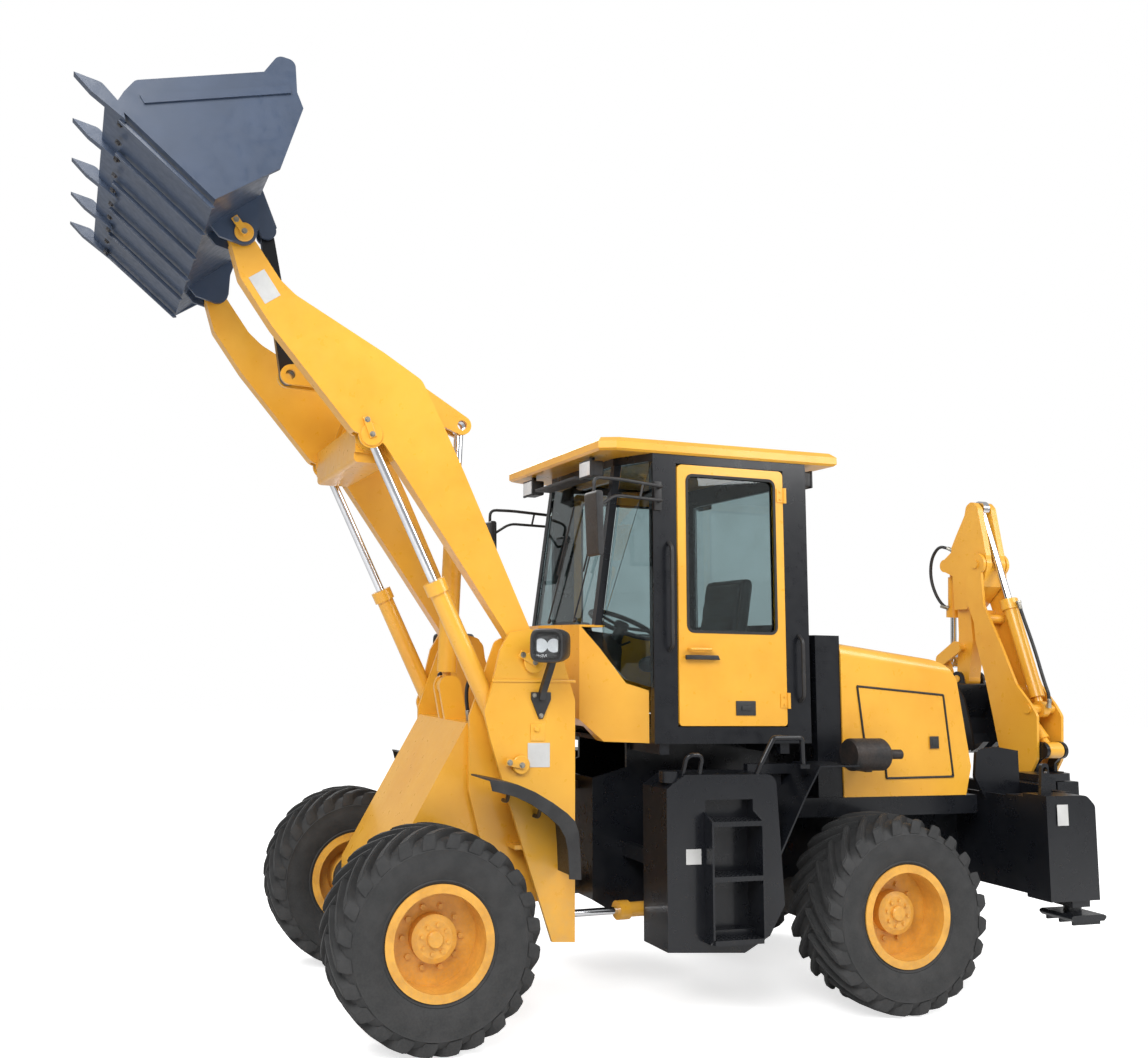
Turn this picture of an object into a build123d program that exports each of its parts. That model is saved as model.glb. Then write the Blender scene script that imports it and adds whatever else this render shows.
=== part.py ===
"""A backhoe loader: a wheeled machine with a front bucket on raised arms and a digging arm folded behind.

Stations are in millimetres: x forward of the rear axle, y to the machine's left, z up from the ground.
Every finished piece is moved by ORIGIN_X, so that the origin is under the middle of the overall length.
"""
from build123d import *
import math
import os

# Wheels and axles
WHEELBASE = 2737.0
TYRE_R = 537.5            # to the lugs' tips
TYRE_HALF_WIDTH = 200.0
TRACK_HALF = 825.0        # centre plane of a wheel
CARCASS_R = 502.0
BULGE_R = 410.0
BEAD_R = 256.0
RIM_FIT = 0.5             # bead to rim
LUGS = 24                 # lugs on each half of the tread
RIM_FLANGE_R = 281.0
BEAD_HALF = 162.0         # half width over the beads
FLANGE_T = 12.0
HUB_R = 118.0
AXLE_R = 95.0
HOUSING_R = 205.0         # of the drive housing in the middle of an axle
ORIGIN_X = 1431.0         # middle of the overall length

# Frames
PLATE = 22.0
STEER_X = 1700.0          # vertical axis of the frame joint
STEER_EARS_Z = (620.0, 1180.0)
EAR_T = 45.0
SIDE_RAIL_Y = 330.0       # outer face of the rear frame's side plates
DECK_Z = 1110.0
TOWER_OUT = 622.0         # outer face of the lift tower's outer plates
TOWER_IN = 480.0          # outer face of its inner plates
PIN_FIT = 0.5             # running fit of a pin in its bore
ROD_FIT = 0.5             # of a rod in its barrel
SEAT = 0.3                # between pieces that rest on each other
NOSE_HALF = 434.0
NOSE_TOP = 1559.0
AXLE_PAD_Z = 640.0
NOSE_REACH = 153.0        # of the nose before the front axle
PAD_HALF = 90.0           # half length of the pads on that axle
NOSE_REAR = 1975.0        # rear end of the nose's upper plates, clear of the cowl when it steers
CROSS_TOP = 1440.0        # top of the cross plates, below the cab's floor
DECK_T = 26.0
ENGINE_BAY_X = (-640.0, 40.0)
ENGINE_BAY_HALF = 290.0
STEER_PIN_R = 32.0
STEER_CYL_Z = 530.0
STEER_CYL_BASE = (920.0, 430.0)
STEER_CYL_EYE = (1880.0, 500.0)

# Cylinders and pins
PIN_R = 30.0
ARM_PIN_R = 40.0
EYE_R = 52.0
GLAND_LENGTH = 70.0
GLAND_STEP = 12.0
BLIND_END = 100.0         # from the base pin to the bottom of a barrel's bore
NECK = 80.0               # from the base pin to the full barrel

# Loader linkage, (x, z)
ARM_PIVOT = (2100.0, 1900.0)
LIFT_BASE = (2173.0, 1350.0)
LIFT_PIN = (3035.0, 3104.0)
BUCKET_PIN = (3770.0, 4136.0)
CRANK_PIVOT = (2870.0, 3570.0)
CRANK_TOP = (2330.0, 3310.0)
CRANK_LOW = (3390.0, 3530.0)
LINK_PIN = (3552.0, 4375.0)
TILT_BASE = (2390.0, 1750.0)
CROSS_BOX = (2990.0, 3080.0)
ARM_Y = 540.0             # centre plane of a lift arm
ARM_T = 100.0
SLOT_T = 66.0             # slot in the arm for the lift rod's eye
LIFT_EYE_SWAY = (107.0, -81.0)   # how far that eye sways in the slot, with 8 mm to either side
SWAY_ROOM = 16.0
EYE_T = 50.0
RUN = 10.0                # side clearance of moving plates
BUCKET_HALF = 1037.0
BUCKET_WALL = 22.0
TOOTH_COUNT = 5
TOOTH_HALF = 26.0
EAR_PLATE = 22.0
CRANK_Y = (35.0, 60.0)    # crank plates and link ears, either side of the middle
CHEEK_Y = 66.0
CRANK_PIN_R = 38.0
CROSS_SIDE = 220.0
GLAND_NOTCH = (468.0, 52.0)    # from y and how high: room for the lift barrels at full height
LINK_PIN_R = 22.0

# Cab
CAB_HALF = 700.0
CAB_REAR = 383.0
CAB_FRONT = 1400.0        # front post beside the door
CAB_FLOOR = 1462.0
CAB_TOP = 3100.0
FLOOR_RAIL = CAB_FLOOR     # top of the rear frame under the cab
REAR_WINDOW = (520.0, 2150.0, 2980.0)   # half width, sill, head
CAB_WALL = 45.0
SCREEN_HALF = 440.0       # half width of the front screen
SCREEN_X = (1625.0, 1497.0)   # its foot and its head
COWL_TOP = 2118.0
DOOR_X = (540.0, 1252.0)
DOOR_Z = (1555.0, 3050.0)
DOOR_GAP = 6.0
KNUCKLE_R = 11.0
DOOR_HINGE = (DOOR_X[0] - 2, CAB_HALF + KNUCKLE_R + SEAT)
DOOR_T = 36.0
GLASS_T = 6.0
ROOF_X = (172.0, 1728.0)
ROOF_HALF = 720.0
ROOF_T = 80.0
ROOF_CORNER = 90.0
DOOR_WINDOW_Z = (2085.0, 2990.0)

# Engine hood
HOOD_HALF = 590.0
HOOD_FRONT = 85.0
HOOD_WALL = 15.0
BULKHEAD_X = (HOOD_FRONT, 255.0)
PANEL_OUTLINE = [(-22, 1794, 20), (-60, 1475, 20), (-200, 1435, 20), (-215, 1240, 20), (-710, 1245, 30),
                 (-657, 1746, 30)]
PANEL_SHRINK = 0.985
PANEL_T = 10.0

# Side tanks
TANK_Y = (640.0, 900.0)
STEP_X = (915.0, 1210.0)
STEP_REACH = 85.0

# Digging arm, (y, z) in a plane across the machine, folded to the right
DIG_X = -1620.0
SWING_Y = 500.0
SWING_Z = (690.0, 1230.0)
BOOM_FOOT = (270.0, 1200.0)
BOOM_CYL_BASE = (450.0, 1390.0)
BOOM_CYL_PIN = (125.0, 1760.0)
STICK_PIVOT = (-10.0, 2630.0)
STICK_CYL_BASE = (385.0, 1650.0)
STICK_CYL_PIN = (-47.0, 3030.0)
STICK_EYE_SWAY = (15.0, -150.0)  # how far the rod's eye sways in the fork
FORK_ROOM = 42.0
DIG_PIN = (-235.0, 1830.0)
ROCKER_PIVOT = (-220.0, 2050.0)
ROCKER_PIN = (-370.0, 1960.0)
DIG_LINK_PIN = (-286.0, 1710.0)
LINK_HALF = 32.0          # half width of the two bucket links
CURL_BASE = (-335.0, 2640.0)
BOOM_HALF = 110.0         # half width over the boom's side plates
BOOM_PLATE = 20.0
STICK_HALF = 80.0
STICK_TIP_HALF = 50.0
FRAME_X = (-1320.0, -960.0)   # the cross frame at the back
LEG_Y = 950.0             # centre of a stabiliser leg
LEG_SIDE = 130.0
LEG_FIT = 0.3
LEG_WALL = 20.0
LEG_X = -1200.0
LEG_TOP = 1140.0
RAIL_Z = ((580.0, 680.0), (1090.0, 1179.0))
RAIL_T = 70.0
CARRIAGE_HALF = 220.0
POST_HALF = 85.0
BUCKET_EAR_X = (80.0, 98.0)   # layers of plates beside the digging arm's plane
ROCKER_X = (104.0, 120.0)
LINK_X = (56.0, 74.0)
DIG_PIN_R = 25.0
DIG_BUCKET_HALF = 190.0
DIG_WALL = 14.0
DIG_TEETH = 4

os.makedirs("parts", exist_ok=True)


def place(a, b, c, side):
    """A point of an outline in 3-D: side 'y' holds (x, z), 'x' holds (y, z) and 'z' holds (x, y)."""
    return Vector(*{"y": (a, c, b), "x": (c, a, b), "z": (a, b, c)}[side])


def outline(corners, level, side):
    """A closed wire of lines and arcs; a corner is (a, b) or (a, b, radius)."""
    spots = [(c[0], c[1], c[2] if len(c) > 2 else 0.0) for c in corners]
    joints = []
    for i, (a, b, r) in enumerate(spots):
        before, after = spots[i - 1], spots[(i + 1) % len(spots)]
        if r <= 0:
            joints.append(((a, b), None, (a, b)))
            continue
        u = Vector(before[0] - a, before[1] - b, 0).normalized()
        v = Vector(after[0] - a, after[1] - b, 0).normalized()
        half = math.radians(u.get_angle(v)) / 2
        reach = r / math.tan(half)
        middle = (u + v).normalized() * (r / math.sin(half) - r)
        joints.append(((a + u.X * reach, b + u.Y * reach), (a + middle.X, b + middle.Y),
                       (a + v.X * reach, b + v.Y * reach)))
    edges = []
    for i, (start, middle, end) in enumerate(joints):
        if middle:
            edges.append(Edge.make_three_point_arc(*(place(*p, level, side) for p in (start, middle, end))))
        following = joints[(i + 1) % len(joints)][0]
        if math.dist(end, following) > 0.01:
            edges.append(Edge.make_line(place(*end, level, side), place(*following, level, side)))
    return Wire(edges)


def prism(corners, low, high, side="y"):
    """An outline made solid from low to high along its own axis."""
    face = Face(outline(corners, low, side))
    return Solid.extrude(face, place(0, 0, high - low, side))


def block(x, y, z):
    """A box between pairs of stations."""
    return prism([(x[0], z[0]), (x[1], z[0]), (x[1], z[1]), (x[0], z[1])], y[0], y[1])


def rod(start, end, radius):
    """A round bar between two points."""
    start, end = Vector(*start), Vector(*end)
    return Solid.make_cylinder(radius, (end - start).length, Plane(start, z_dir=end - start))


def pin(point, low, high, radius, side="y"):
    """A round pin across the machine ('y') or along it ('x'), through a point of the linkage."""
    return rod(place(*point, low, side), place(*point, high, side), radius)


def strap(first, second, r1, r2, low, high, side="y"):
    """A flat bar with round ends about two pins."""
    a, b = Vector(*first, 0), Vector(*second, 0)
    along = (b - a).normalized()
    turn = math.degrees(math.acos(max(-1, min(1, (r1 - r2) / (b - a).length))))
    ends = []
    for sign in (1, -1):
        normal = along.rotate(Axis.Z, sign * turn)
        ends.append((a + normal * r1, b + normal * r2))
    corners = [ends[0][0], ends[0][1], ends[1][1], ends[1][0]]
    bar = prism([(p.X, p.Y) for p in corners], low, high, side)
    return bar + pin(first, low, high, r1, side) + pin(second, low, high, r2, side)


def band(chain, thickness):
    """The closed outline of a bent plate: a chain of points and the same chain moved to its left."""
    normals = []
    for p, q in zip(chain, chain[1:]):
        length = math.dist(p, q)
        normals.append((-(q[1] - p[1]) / length, (q[0] - p[0]) / length))
    moved = []
    for i, p in enumerate(chain):
        m = normals[max(i - 1, 0)]
        n = normals[min(i, len(normals) - 1)]
        scale = thickness / (1 + m[0] * n[0] + m[1] * n[1])
        moved.append((p[0] + (m[0] + n[0]) * scale, p[1] + (m[1] + n[1]) * scale))
    return list(chain) + moved[::-1]


def fused(*shapes):
    """One shape from many: touching solids become one, the others stay apart."""
    return shapes[0].fuse(*shapes[1:])


def both(*shapes):
    """The shapes and their mirror images on the other side of the machine."""
    return list(shapes) + [mirror(s, Plane.XZ) for s in shapes]


def along(start, end, distance):
    """The point at a distance from start towards end."""
    f = distance / math.dist(start, end)
    return tuple(a + (b - a) * f for a, b in zip(start, end))


def moved(point, step):
    """A point after a step."""
    return (point[0] + step[0], point[1] + step[1])


def tube(points, radius, bend):
    """A bent bar along a route of straight runs and arcs."""
    path = FilletPolyline(*points, radius=bend)
    return sweep(Plane(path @ 0, z_dir=path % 0) * Circle(radius), path=path)


def pane(corners, thickness):
    """A flat sheet with its corners on one face, thickened along the face's normal."""
    face = Face(Wire.make_polygon([Vector(*c) for c in corners], close=True))
    return Solid.extrude(face, face.normal_at() * thickness)


def polygon(radius, level, x):
    """A regular polygon about a wheel's axis with one flat towards the ground."""
    count = 2 * LUGS
    corner = radius / math.cos(math.pi / count)
    turns = [2 * math.pi * (i + 0.5) / count for i in range(count)]
    return Wire.make_polygon([Vector(x + corner * math.cos(t), level, TYRE_R + corner * math.sin(t))
                              for t in turns], close=True)


def tyre(x):
    """The left tyre of an axle: its tread is two rings of square lugs, set half a pitch apart."""
    sections = [(BEAD_R + 40, -BEAD_HALF), (BULGE_R, -TYRE_HALF_WIDTH),
                (CARCASS_R, 34 - TYRE_HALF_WIDTH)]       # columns: radius, offset from the centre plane
    sections += [(r, -offset) for r, offset in reversed(sections)]
    carcass = Solid.make_loft([polygon(r, TRACK_HALF + offset, x) for r, offset in sections], ruled=True)
    bore = Solid.extrude(Face(polygon(BEAD_R, TRACK_HALF - TYRE_HALF_WIDTH, x)),
                         Vector(0, 2 * TYRE_HALF_WIDTH, 0))
    step = math.pi / LUGS
    tip, root = TYRE_R / math.cos(step / 2), (CARCASS_R - 12) / math.cos(step / 2)
    lugs = []
    for half in (-1, 1):
        shoulder, middle = half * (TYRE_HALF_WIDTH - 22), -half * 18
        for i in range(LUGS):
            first = (2 * i + (half > 0) + 0.5) * step
            corners = [(x + r * math.cos(first + t), TYRE_R + r * math.sin(first + t))
                       for r, t in ((root, 0), (tip, 0), (tip, step), (root, step))]
            lugs.append(prism(corners, TRACK_HALF + min(shoulder, middle),
                              TRACK_HALF + max(shoulder, middle)))
    return fused(carcass - bore, *lugs)


def rim(x):
    """The left wheel of an axle: a dished disc in a deep rim, with a hub and its raised cover."""
    well = BEAD_R - RIM_FIT
    bead = BEAD_HALF + RIM_FIT
    face = bead + FLANGE_T
    profile = [(0, -125), (HUB_R + 30, -125), (HUB_R + 30, 0), (well - 18, 0), (well - 18, -face),
               (RIM_FLANGE_R, -face), (RIM_FLANGE_R, -bead), (well, -bead), (well, bead),
               (RIM_FLANGE_R, bead),
               (RIM_FLANGE_R, face), (well - 18, face), (well - 18, 18), (HUB_R, 18), (HUB_R, 74),
               (HUB_R - 26, 84), (0, 84)]       # columns: radius, offset outwards
    wire = Wire.make_polygon([Vector(x + r, TRACK_HALF + o, TYRE_R) for r, o in profile], close=True)
    return Solid.revolve(Face(wire), 360, Axis((x, 0, TYRE_R), (0, 1, 0)))


def axle(x, pad_half, pad_z):
    """An axle beam with its centre housing and two spring pads."""
    end = TRACK_HALF - 125 - RIM_FIT
    profile = [(0, -190), (120, -190), (HOUSING_R, -70), (HOUSING_R, 70), (120, 190), (0, 190)]
    wire = Wire.make_polygon([Vector(x + r, y, TYRE_R) for r, y in profile], close=True)
    housing = Solid.revolve(Face(wire), 360, Axis((x, 0, TYRE_R), (0, 1, 0)))
    flange = pin((x, TYRE_R), end - 40, end, HUB_R + 22)
    pad = block((x - 90, x + 90), (pad_half - 60, pad_half + 60), (TYRE_R, pad_z))
    return fused(pin((x, TYRE_R), -end, end, AXLE_R), housing, *both(flange, pad))


def steer_ear(root_x, root_half, tip_x, z):
    """A horizontal ear of the frame joint with a round nose about its pin."""
    side = 1 if tip_x > root_x else -1
    ear = prism([(root_x, -root_half), (STEER_X, -80), (STEER_X, 80), (root_x, root_half)], z - EAR_T / 2,
                z + EAR_T / 2, "z")
    return ear + rod((STEER_X, 0, z - EAR_T / 2), (STEER_X, 0, z + EAR_T / 2), 80)


def rear_frame():
    """Two side plates and a deck, with the ears of the frame joint at the front."""
    profile = [(1600, 560), (1600, 1240), (1380, 1300), (1380, FLOOR_RAIL), (420, FLOOR_RAIL),
               (420, DECK_Z),
               (FRAME_X[1], DECK_Z), (FRAME_X[1], AXLE_PAD_Z), (300, AXLE_PAD_Z), (640, 470), (1440, 470)]
    across = (PLATE - SIDE_RAIL_Y, SIDE_RAIL_Y - PLATE)
    pieces = both(prism(profile, SIDE_RAIL_Y - PLATE, SIDE_RAIL_Y))
    pieces += [block((1578, 1600), across, (560, 1240)), block((600, 1400), across, (470, 490)),
               block((420, 1380), across, (FLOOR_RAIL - 24, FLOOR_RAIL)),
               block((FRAME_X[1], FRAME_X[1] + PLATE), across, (AXLE_PAD_Z, DECK_Z))]
    deck = block((-880, 420), (-HOOD_HALF, HOOD_HALF), (DECK_Z, DECK_Z + DECK_T))
    pieces.append(deck - block(ENGINE_BAY_X, (-ENGINE_BAY_HALF, ENGINE_BAY_HALF),
                               (DECK_Z - 1, DECK_Z + DECK_T + 1)))
    pieces += both(block((-880, 420), (HOOD_HALF - 16, HOOD_HALF), (DECK_Z - 84, DECK_Z)))
    for x in (-700, 300):
        pieces += both(block((x, x + 40), (SIDE_RAIL_Y, HOOD_HALF - 16), (DECK_Z - 84, DECK_Z)))
    for x in (1300, 520):
        pieces += both(block((x, x + 60), (SIDE_RAIL_Y, CAB_HALF - 20), (FLOOR_RAIL - 60, FLOOR_RAIL)))
    for x in (780, 1360):
        pieces += both(block((x, x + 50), (SIDE_RAIL_Y, TANK_Y[0]), (800, 880)))
    pieces += [steer_ear(1590, 150, STEER_X + 90, z) for z in STEER_EARS_Z]
    for z in (STEER_CYL_Z - EYE_T / 2 - RUN - 20, STEER_CYL_Z + EYE_T / 2 + RUN):
        base = STEER_CYL_BASE
        pieces += both(prism([(base[0] - 70, SIDE_RAIL_Y - 5), (base[0] - 45, base[1] + 45, 40),
                              (base[0] + 45, base[1] + 45, 40), (base[0] + 70, SIDE_RAIL_Y - 5)], z,
                              z + 20, "z"))
    pieces += both(rod((*STEER_CYL_BASE, STEER_CYL_Z - 55), (*STEER_CYL_BASE, STEER_CYL_Z + 55), PIN_R))
    frame = fused(*pieces)
    for z in STEER_EARS_Z:
        frame -= rod((STEER_X, 0, z - EAR_T), (STEER_X, 0, z + EAR_T), STEER_PIN_R + PIN_FIT)
    return frame


def front_frame():
    """The lift tower: double side plates for the arms, a sloping nose and the mating joint ears."""
    outer = [(1847, 410), (1980, 417), (2216, 1101), (2340, 1471, 60), (2382, 1630, 60), (2343, 1747),
             (2293, 1963), (2235, 2060, 20), (2117, 2080, 20), (1960, 2040, 40), (1847, 1697, 60)]
    inner = [(1900, 600), (2250, 600), (2414, 1200), (2414, 1600), (2260, 2030, 60), (1990, 2030, 60),
             (1900, 1450), (1945, 1500)]
    tip = WHEELBASE + NOSE_REACH
    nose = [(NOSE_REAR, NOSE_TOP), (2414, NOSE_TOP), (tip, 720), (tip, AXLE_PAD_Z)]
    gap = (TOWER_IN, TOWER_OUT - PLATE)
    pieces = both(prism(outer, TOWER_OUT - PLATE, TOWER_OUT), prism(inner, TOWER_IN - PLATE, TOWER_IN),
                  prism(nose + [(1950, AXLE_PAD_Z)], NOSE_HALF - PLATE, NOSE_HALF),
                  block((1847, 1869), gap, (590, CROSS_TOP)),
                  block((1930, 2190), gap, (900, 922)),
                  block((NOSE_REAR, 2400), (NOSE_HALF, TOWER_IN - PLATE), (1300, NOSE_TOP)),
                  block((WHEELBASE - PAD_HALF, WHEELBASE + PAD_HALF), (380, NOSE_HALF - PLATE),
                        (AXLE_PAD_Z, 700)),
                  pin(ARM_PIVOT, TOWER_IN, TOWER_OUT + 16, ARM_PIN_R),
                  pin(LIFT_BASE, TOWER_IN, TOWER_OUT + 14, PIN_R))
    pieces += [prism(band(nose, -PLATE), -NOSE_HALF, NOSE_HALF),
               block((1900, 1925), (PLATE - TOWER_IN, TOWER_IN - PLATE), (560, CROSS_TOP))]
    tilt = [(TILT_BASE[0] - 120, NOSE_TOP - 20), (TILT_BASE[0] + 20, NOSE_TOP - 20),
            (TILT_BASE[0] + 62, TILT_BASE[1], 50), (TILT_BASE[0] + 40, TILT_BASE[1] + 60, 50),
            (TILT_BASE[0] - 62, TILT_BASE[1] + 60, 50)]
    pieces += both(prism(tilt, EYE_T / 2 + RUN, EYE_T / 2 + RUN + 26))
    pieces.append(pin(TILT_BASE, -EYE_T / 2 - RUN, EYE_T / 2 + RUN, PIN_R))
    eye = STEER_CYL_EYE
    for z in (STEER_CYL_Z - EYE_T / 2 - RUN - 20, STEER_CYL_Z + EYE_T / 2 + RUN):
        pieces += both(prism([(eye[0] - 33, gap[1] + 5), (eye[0] - 33, eye[1] - 10, 30),
                              (eye[0] + 60, eye[1] - 50, 40),
                              (eye[0] + 75, gap[1] + 5)], z, z + 20, "z"))
    for z, side in zip(STEER_EARS_Z, (-1, 1)):
        level = z + side * (EAR_T + 2)
        pieces.append(steer_ear(1910, 190, STEER_X - 90, level))
        pieces.append(rod((STEER_X, 0, level - side * EAR_T * 1.6), (STEER_X, 0, level + side * EAR_T),
                          STEER_PIN_R))
    return fused(*pieces) - pin((WHEELBASE, TYRE_R), -240, 240, HOUSING_R + 20)


def front_fenders():
    """Two bent mud guards behind the front wheels, fixed to the tower's outer plates."""
    guard = prism(band([(2424, 1300), (1970, 1190), (1950, 790)], 12), TOWER_OUT, 900)
    rib = prism([(2230, 1250), (1995, 1192), (1995, 1100)], TOWER_OUT, TOWER_OUT + 160)
    return Compound(children=both(fused(guard, rib)))


def headlamps():
    """A work lamp beside each tower top, on a bent stalk with a triangular foot."""
    shell = prism([(1925, 2085, 40), (2170, 2075, 50), (2196, 1915, 30), (1940, 1905, 30)], 665, 835)
    face = prism([(2150, 2058), (2186, 2055), (2200, 1930), (2150, 1928)], 685, 815)
    foot = prism([(2080, 1650), (2210, 1650), (2150, 1560)], TOWER_OUT, TOWER_OUT + 10)
    stalk = tube([(2150, TOWER_OUT + 8, 1625), (2150, 740, 1680), (2070, 750, 1915)], 14, 30)
    return Compound(children=both(fused(shell, face, foot, stalk)))


def barrel(base, eye, length, radius, rod_radius, level, side, eye_half, pin_radius):
    """A cylinder's barrel: base eye with its bore, a wider gland, and the bore that the rod slides in."""
    half = eye_half
    start, mouth = along(base, eye, NECK), along(base, eye, length)
    gland = along(base, eye, length - GLAND_LENGTH)
    shape = fused(rod(place(*start, level, side), place(*mouth, level, side), radius),
                  rod(place(*base, level, side), place(*start, level, side), EYE_T / 2),
                  rod(place(*gland, level, side), place(*mouth, level, side), radius + GLAND_STEP),
                  pin(base, level - half, level + half, EYE_R, side))
    shape -= rod(place(*along(base, eye, BLIND_END), level, side),
                 place(*along(base, eye, length + 1), level, side), rod_radius + ROD_FIT)
    return shape - pin(base, level - half - 1, level + half + 1, pin_radius + PIN_FIT, side)


def ram(base, eye, start, rod_radius, level, side="y"):
    """A cylinder's rod, from inside its barrel to its eye, which is open for its pin."""
    bar = rod(place(*along(base, eye, start), level, side),
              place(*along(base, eye, math.dist(base, eye) - EYE_R / 2), level, side), rod_radius)
    shape = fused(bar, pin(eye, level - EYE_T / 2, level + EYE_T / 2, EYE_R, side))
    return shape - pin(eye, level - EYE_T, level + EYE_T, PIN_R, side)


def lift_arms():
    """Two plate arms with a knee, slotted for the lift rods and joined by a box that carries the crank."""
    profile = [(2022, 1905), (2505, 2939), (2629, 3191), (2755, 3430, 90), (2974, 3564), (3477, 3837, 200),
               (3561, 3910, 120), (3702, 4106), (3835, 4089), (3778, 3901, 60), (3597, 3649),
               (3135, 3116, 80),
               (2966, 3064, 60), (2596, 2547), (2251, 2058), (2150, 1900)]
    low, high = ARM_Y - ARM_T / 2, ARM_Y + ARM_T / 2
    arm = fused(prism(profile, low, high), pin(ARM_PIVOT, low, high, 76), pin(BUCKET_PIN, low, high, 70),
                pin(LIFT_PIN, low, high, 72))
    arm -= pin(ARM_PIVOT, low - 1, high + 1, ARM_PIN_R + PIN_FIT)
    arm -= pin(BUCKET_PIN, low - 1, high + 1, PIN_R + PIN_FIT)
    slot_end = along(LIFT_PIN, LIFT_BASE, 160)
    slot = (ARM_Y - SLOT_T / 2, ARM_Y + SLOT_T / 2)
    arm -= strap(LIFT_PIN, slot_end, EYE_R + 12, EYE_R + 12, *slot)
    arm -= strap(LIFT_PIN, moved(LIFT_PIN, LIFT_EYE_SWAY), EYE_R + SWAY_ROOM, EYE_R + SWAY_ROOM, *slot)
    x, z = CROSS_BOX
    half = CROSS_SIDE / 2
    beam = prism([(x - half, z - half, 25), (x + half, z - half, 25), (x + half, z + half, 25),
                  (x - half, z + half, 25)], -low, low)
    notch = sorted((GLAND_NOTCH[0], low + 1))
    room = block((x - half - 1, x + half + 1), notch, (z - half - 1, z - half + GLAND_NOTCH[1]))
    beam -= fused(*both(room))
    cheek = [(x - half + 10, z + half - 20), (CRANK_PIVOT[0] - 75, CRANK_PIVOT[1], 70),
             (CRANK_PIVOT[0] + 40, CRANK_PIVOT[1] + 85, 70), (CRANK_PIVOT[0] + 90, CRANK_PIVOT[1] - 20, 70),
             (x + half - 10, z + half - 20)]
    cheek = prism(cheek, CHEEK_Y, CHEEK_Y + 24)
    return fused(beam, *both(arm, cheek), pin(CRANK_PIVOT, -CHEEK_Y, CHEEK_Y, CRANK_PIN_R))


def bell_crank():
    """Two plates about a hub: the tilt rod works between their tops, the link between their low ends."""
    leaf = fused(strap(CRANK_TOP, CRANK_PIVOT, 58, 112, *CRANK_Y),
                 strap(CRANK_PIVOT, CRANK_LOW, 112, 58, *CRANK_Y))
    hub = pin(CRANK_PIVOT, -CRANK_Y[1], CRANK_Y[1], CRANK_PIN_R + 28)
    crank = fused(hub, *both(leaf)) - pin(CRANK_PIVOT, -CRANK_Y[1] - 1, CRANK_Y[1] + 1,
                                          CRANK_PIN_R + PIN_FIT)
    for end in (CRANK_TOP, CRANK_LOW):
        crank -= pin(end, -CRANK_Y[1] - 1, CRANK_Y[1] + 1, PIN_R)
    return crank


def tilt_link():
    """The single flat link from the crank to the bucket."""
    bar = strap(CRANK_LOW, LINK_PIN, 52, 38, -EYE_T / 2, EYE_T / 2)
    bar -= pin(CRANK_LOW, -EYE_T, EYE_T, PIN_R)
    return bar - pin(LINK_PIN, -EYE_T, EYE_T, LINK_PIN_R + PIN_FIT)


def loader_bucket():
    """A plate bucket with a toothed lip, side bands, and ears for the arms and the link."""
    shell = band([(4472, 4540), (3975, 4128), (3690, 4352), (3583, 4672), (3618, 4758)], -BUCKET_WALL)
    side = [(4472, 4540), (4434, 4612, 30), (4384, 4678, 40), (3758, 4830), (3690, 4930, 45),
            (3600, 4915, 45),
            (3586, 4749), (3551, 4668), (3657, 4334), (3975, 4128)]
    pieces = [prism(shell, BUCKET_WALL - BUCKET_HALF, BUCKET_HALF - BUCKET_WALL)]
    pieces += both(prism(side, BUCKET_HALF - BUCKET_WALL, BUCKET_HALF))
    rim_band = prism([(4336, 4562), (3618, 4735), (3628, 4775), (4360, 4600)], BUCKET_HALF,
                     BUCKET_HALF + 12)
    pieces += both(rim_band)
    lip = prism(band([(4520, 4580), (4330, 4422)], -30), BUCKET_WALL - BUCKET_HALF,
                BUCKET_HALF - BUCKET_WALL)
    pieces.append(lip)
    for i in range(TOOTH_COUNT):
        y = (2 * i / (TOOTH_COUNT - 1) - 1) * (BUCKET_HALF - TOOTH_HALF)
        pieces.append(prism([(4420, 4470), (4440, 4540), (4540, 4640, 60), (4672, 4672), (4590, 4590, 60)],
                            y - TOOTH_HALF, y + TOOTH_HALF))
    ear = fused(prism([(3945, 4152), (3690, 4352), (3700, 4130), (3800, 4075), (3900, 4100)], 0, EAR_PLATE),
                pin(BUCKET_PIN, 0, EAR_PLATE, 68))
    outside = ARM_Y + ARM_T / 2 + RUN
    inside = ARM_Y - ARM_T / 2 - RUN - EAR_PLATE
    pieces += both(Pos(0, outside, 0) * ear, Pos(0, inside, 0) * ear,
                   pin(BUCKET_PIN, inside, outside + EAR_PLATE, PIN_R))
    pieces += both(prism([(3692, 4356), (3600, 4640), (3500, 4400)], *CRANK_Y), pin(LINK_PIN, *CRANK_Y, 50))
    pieces.append(pin(LINK_PIN, -CRANK_Y[0], CRANK_Y[0], LINK_PIN_R))
    return fused(*pieces)


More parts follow.
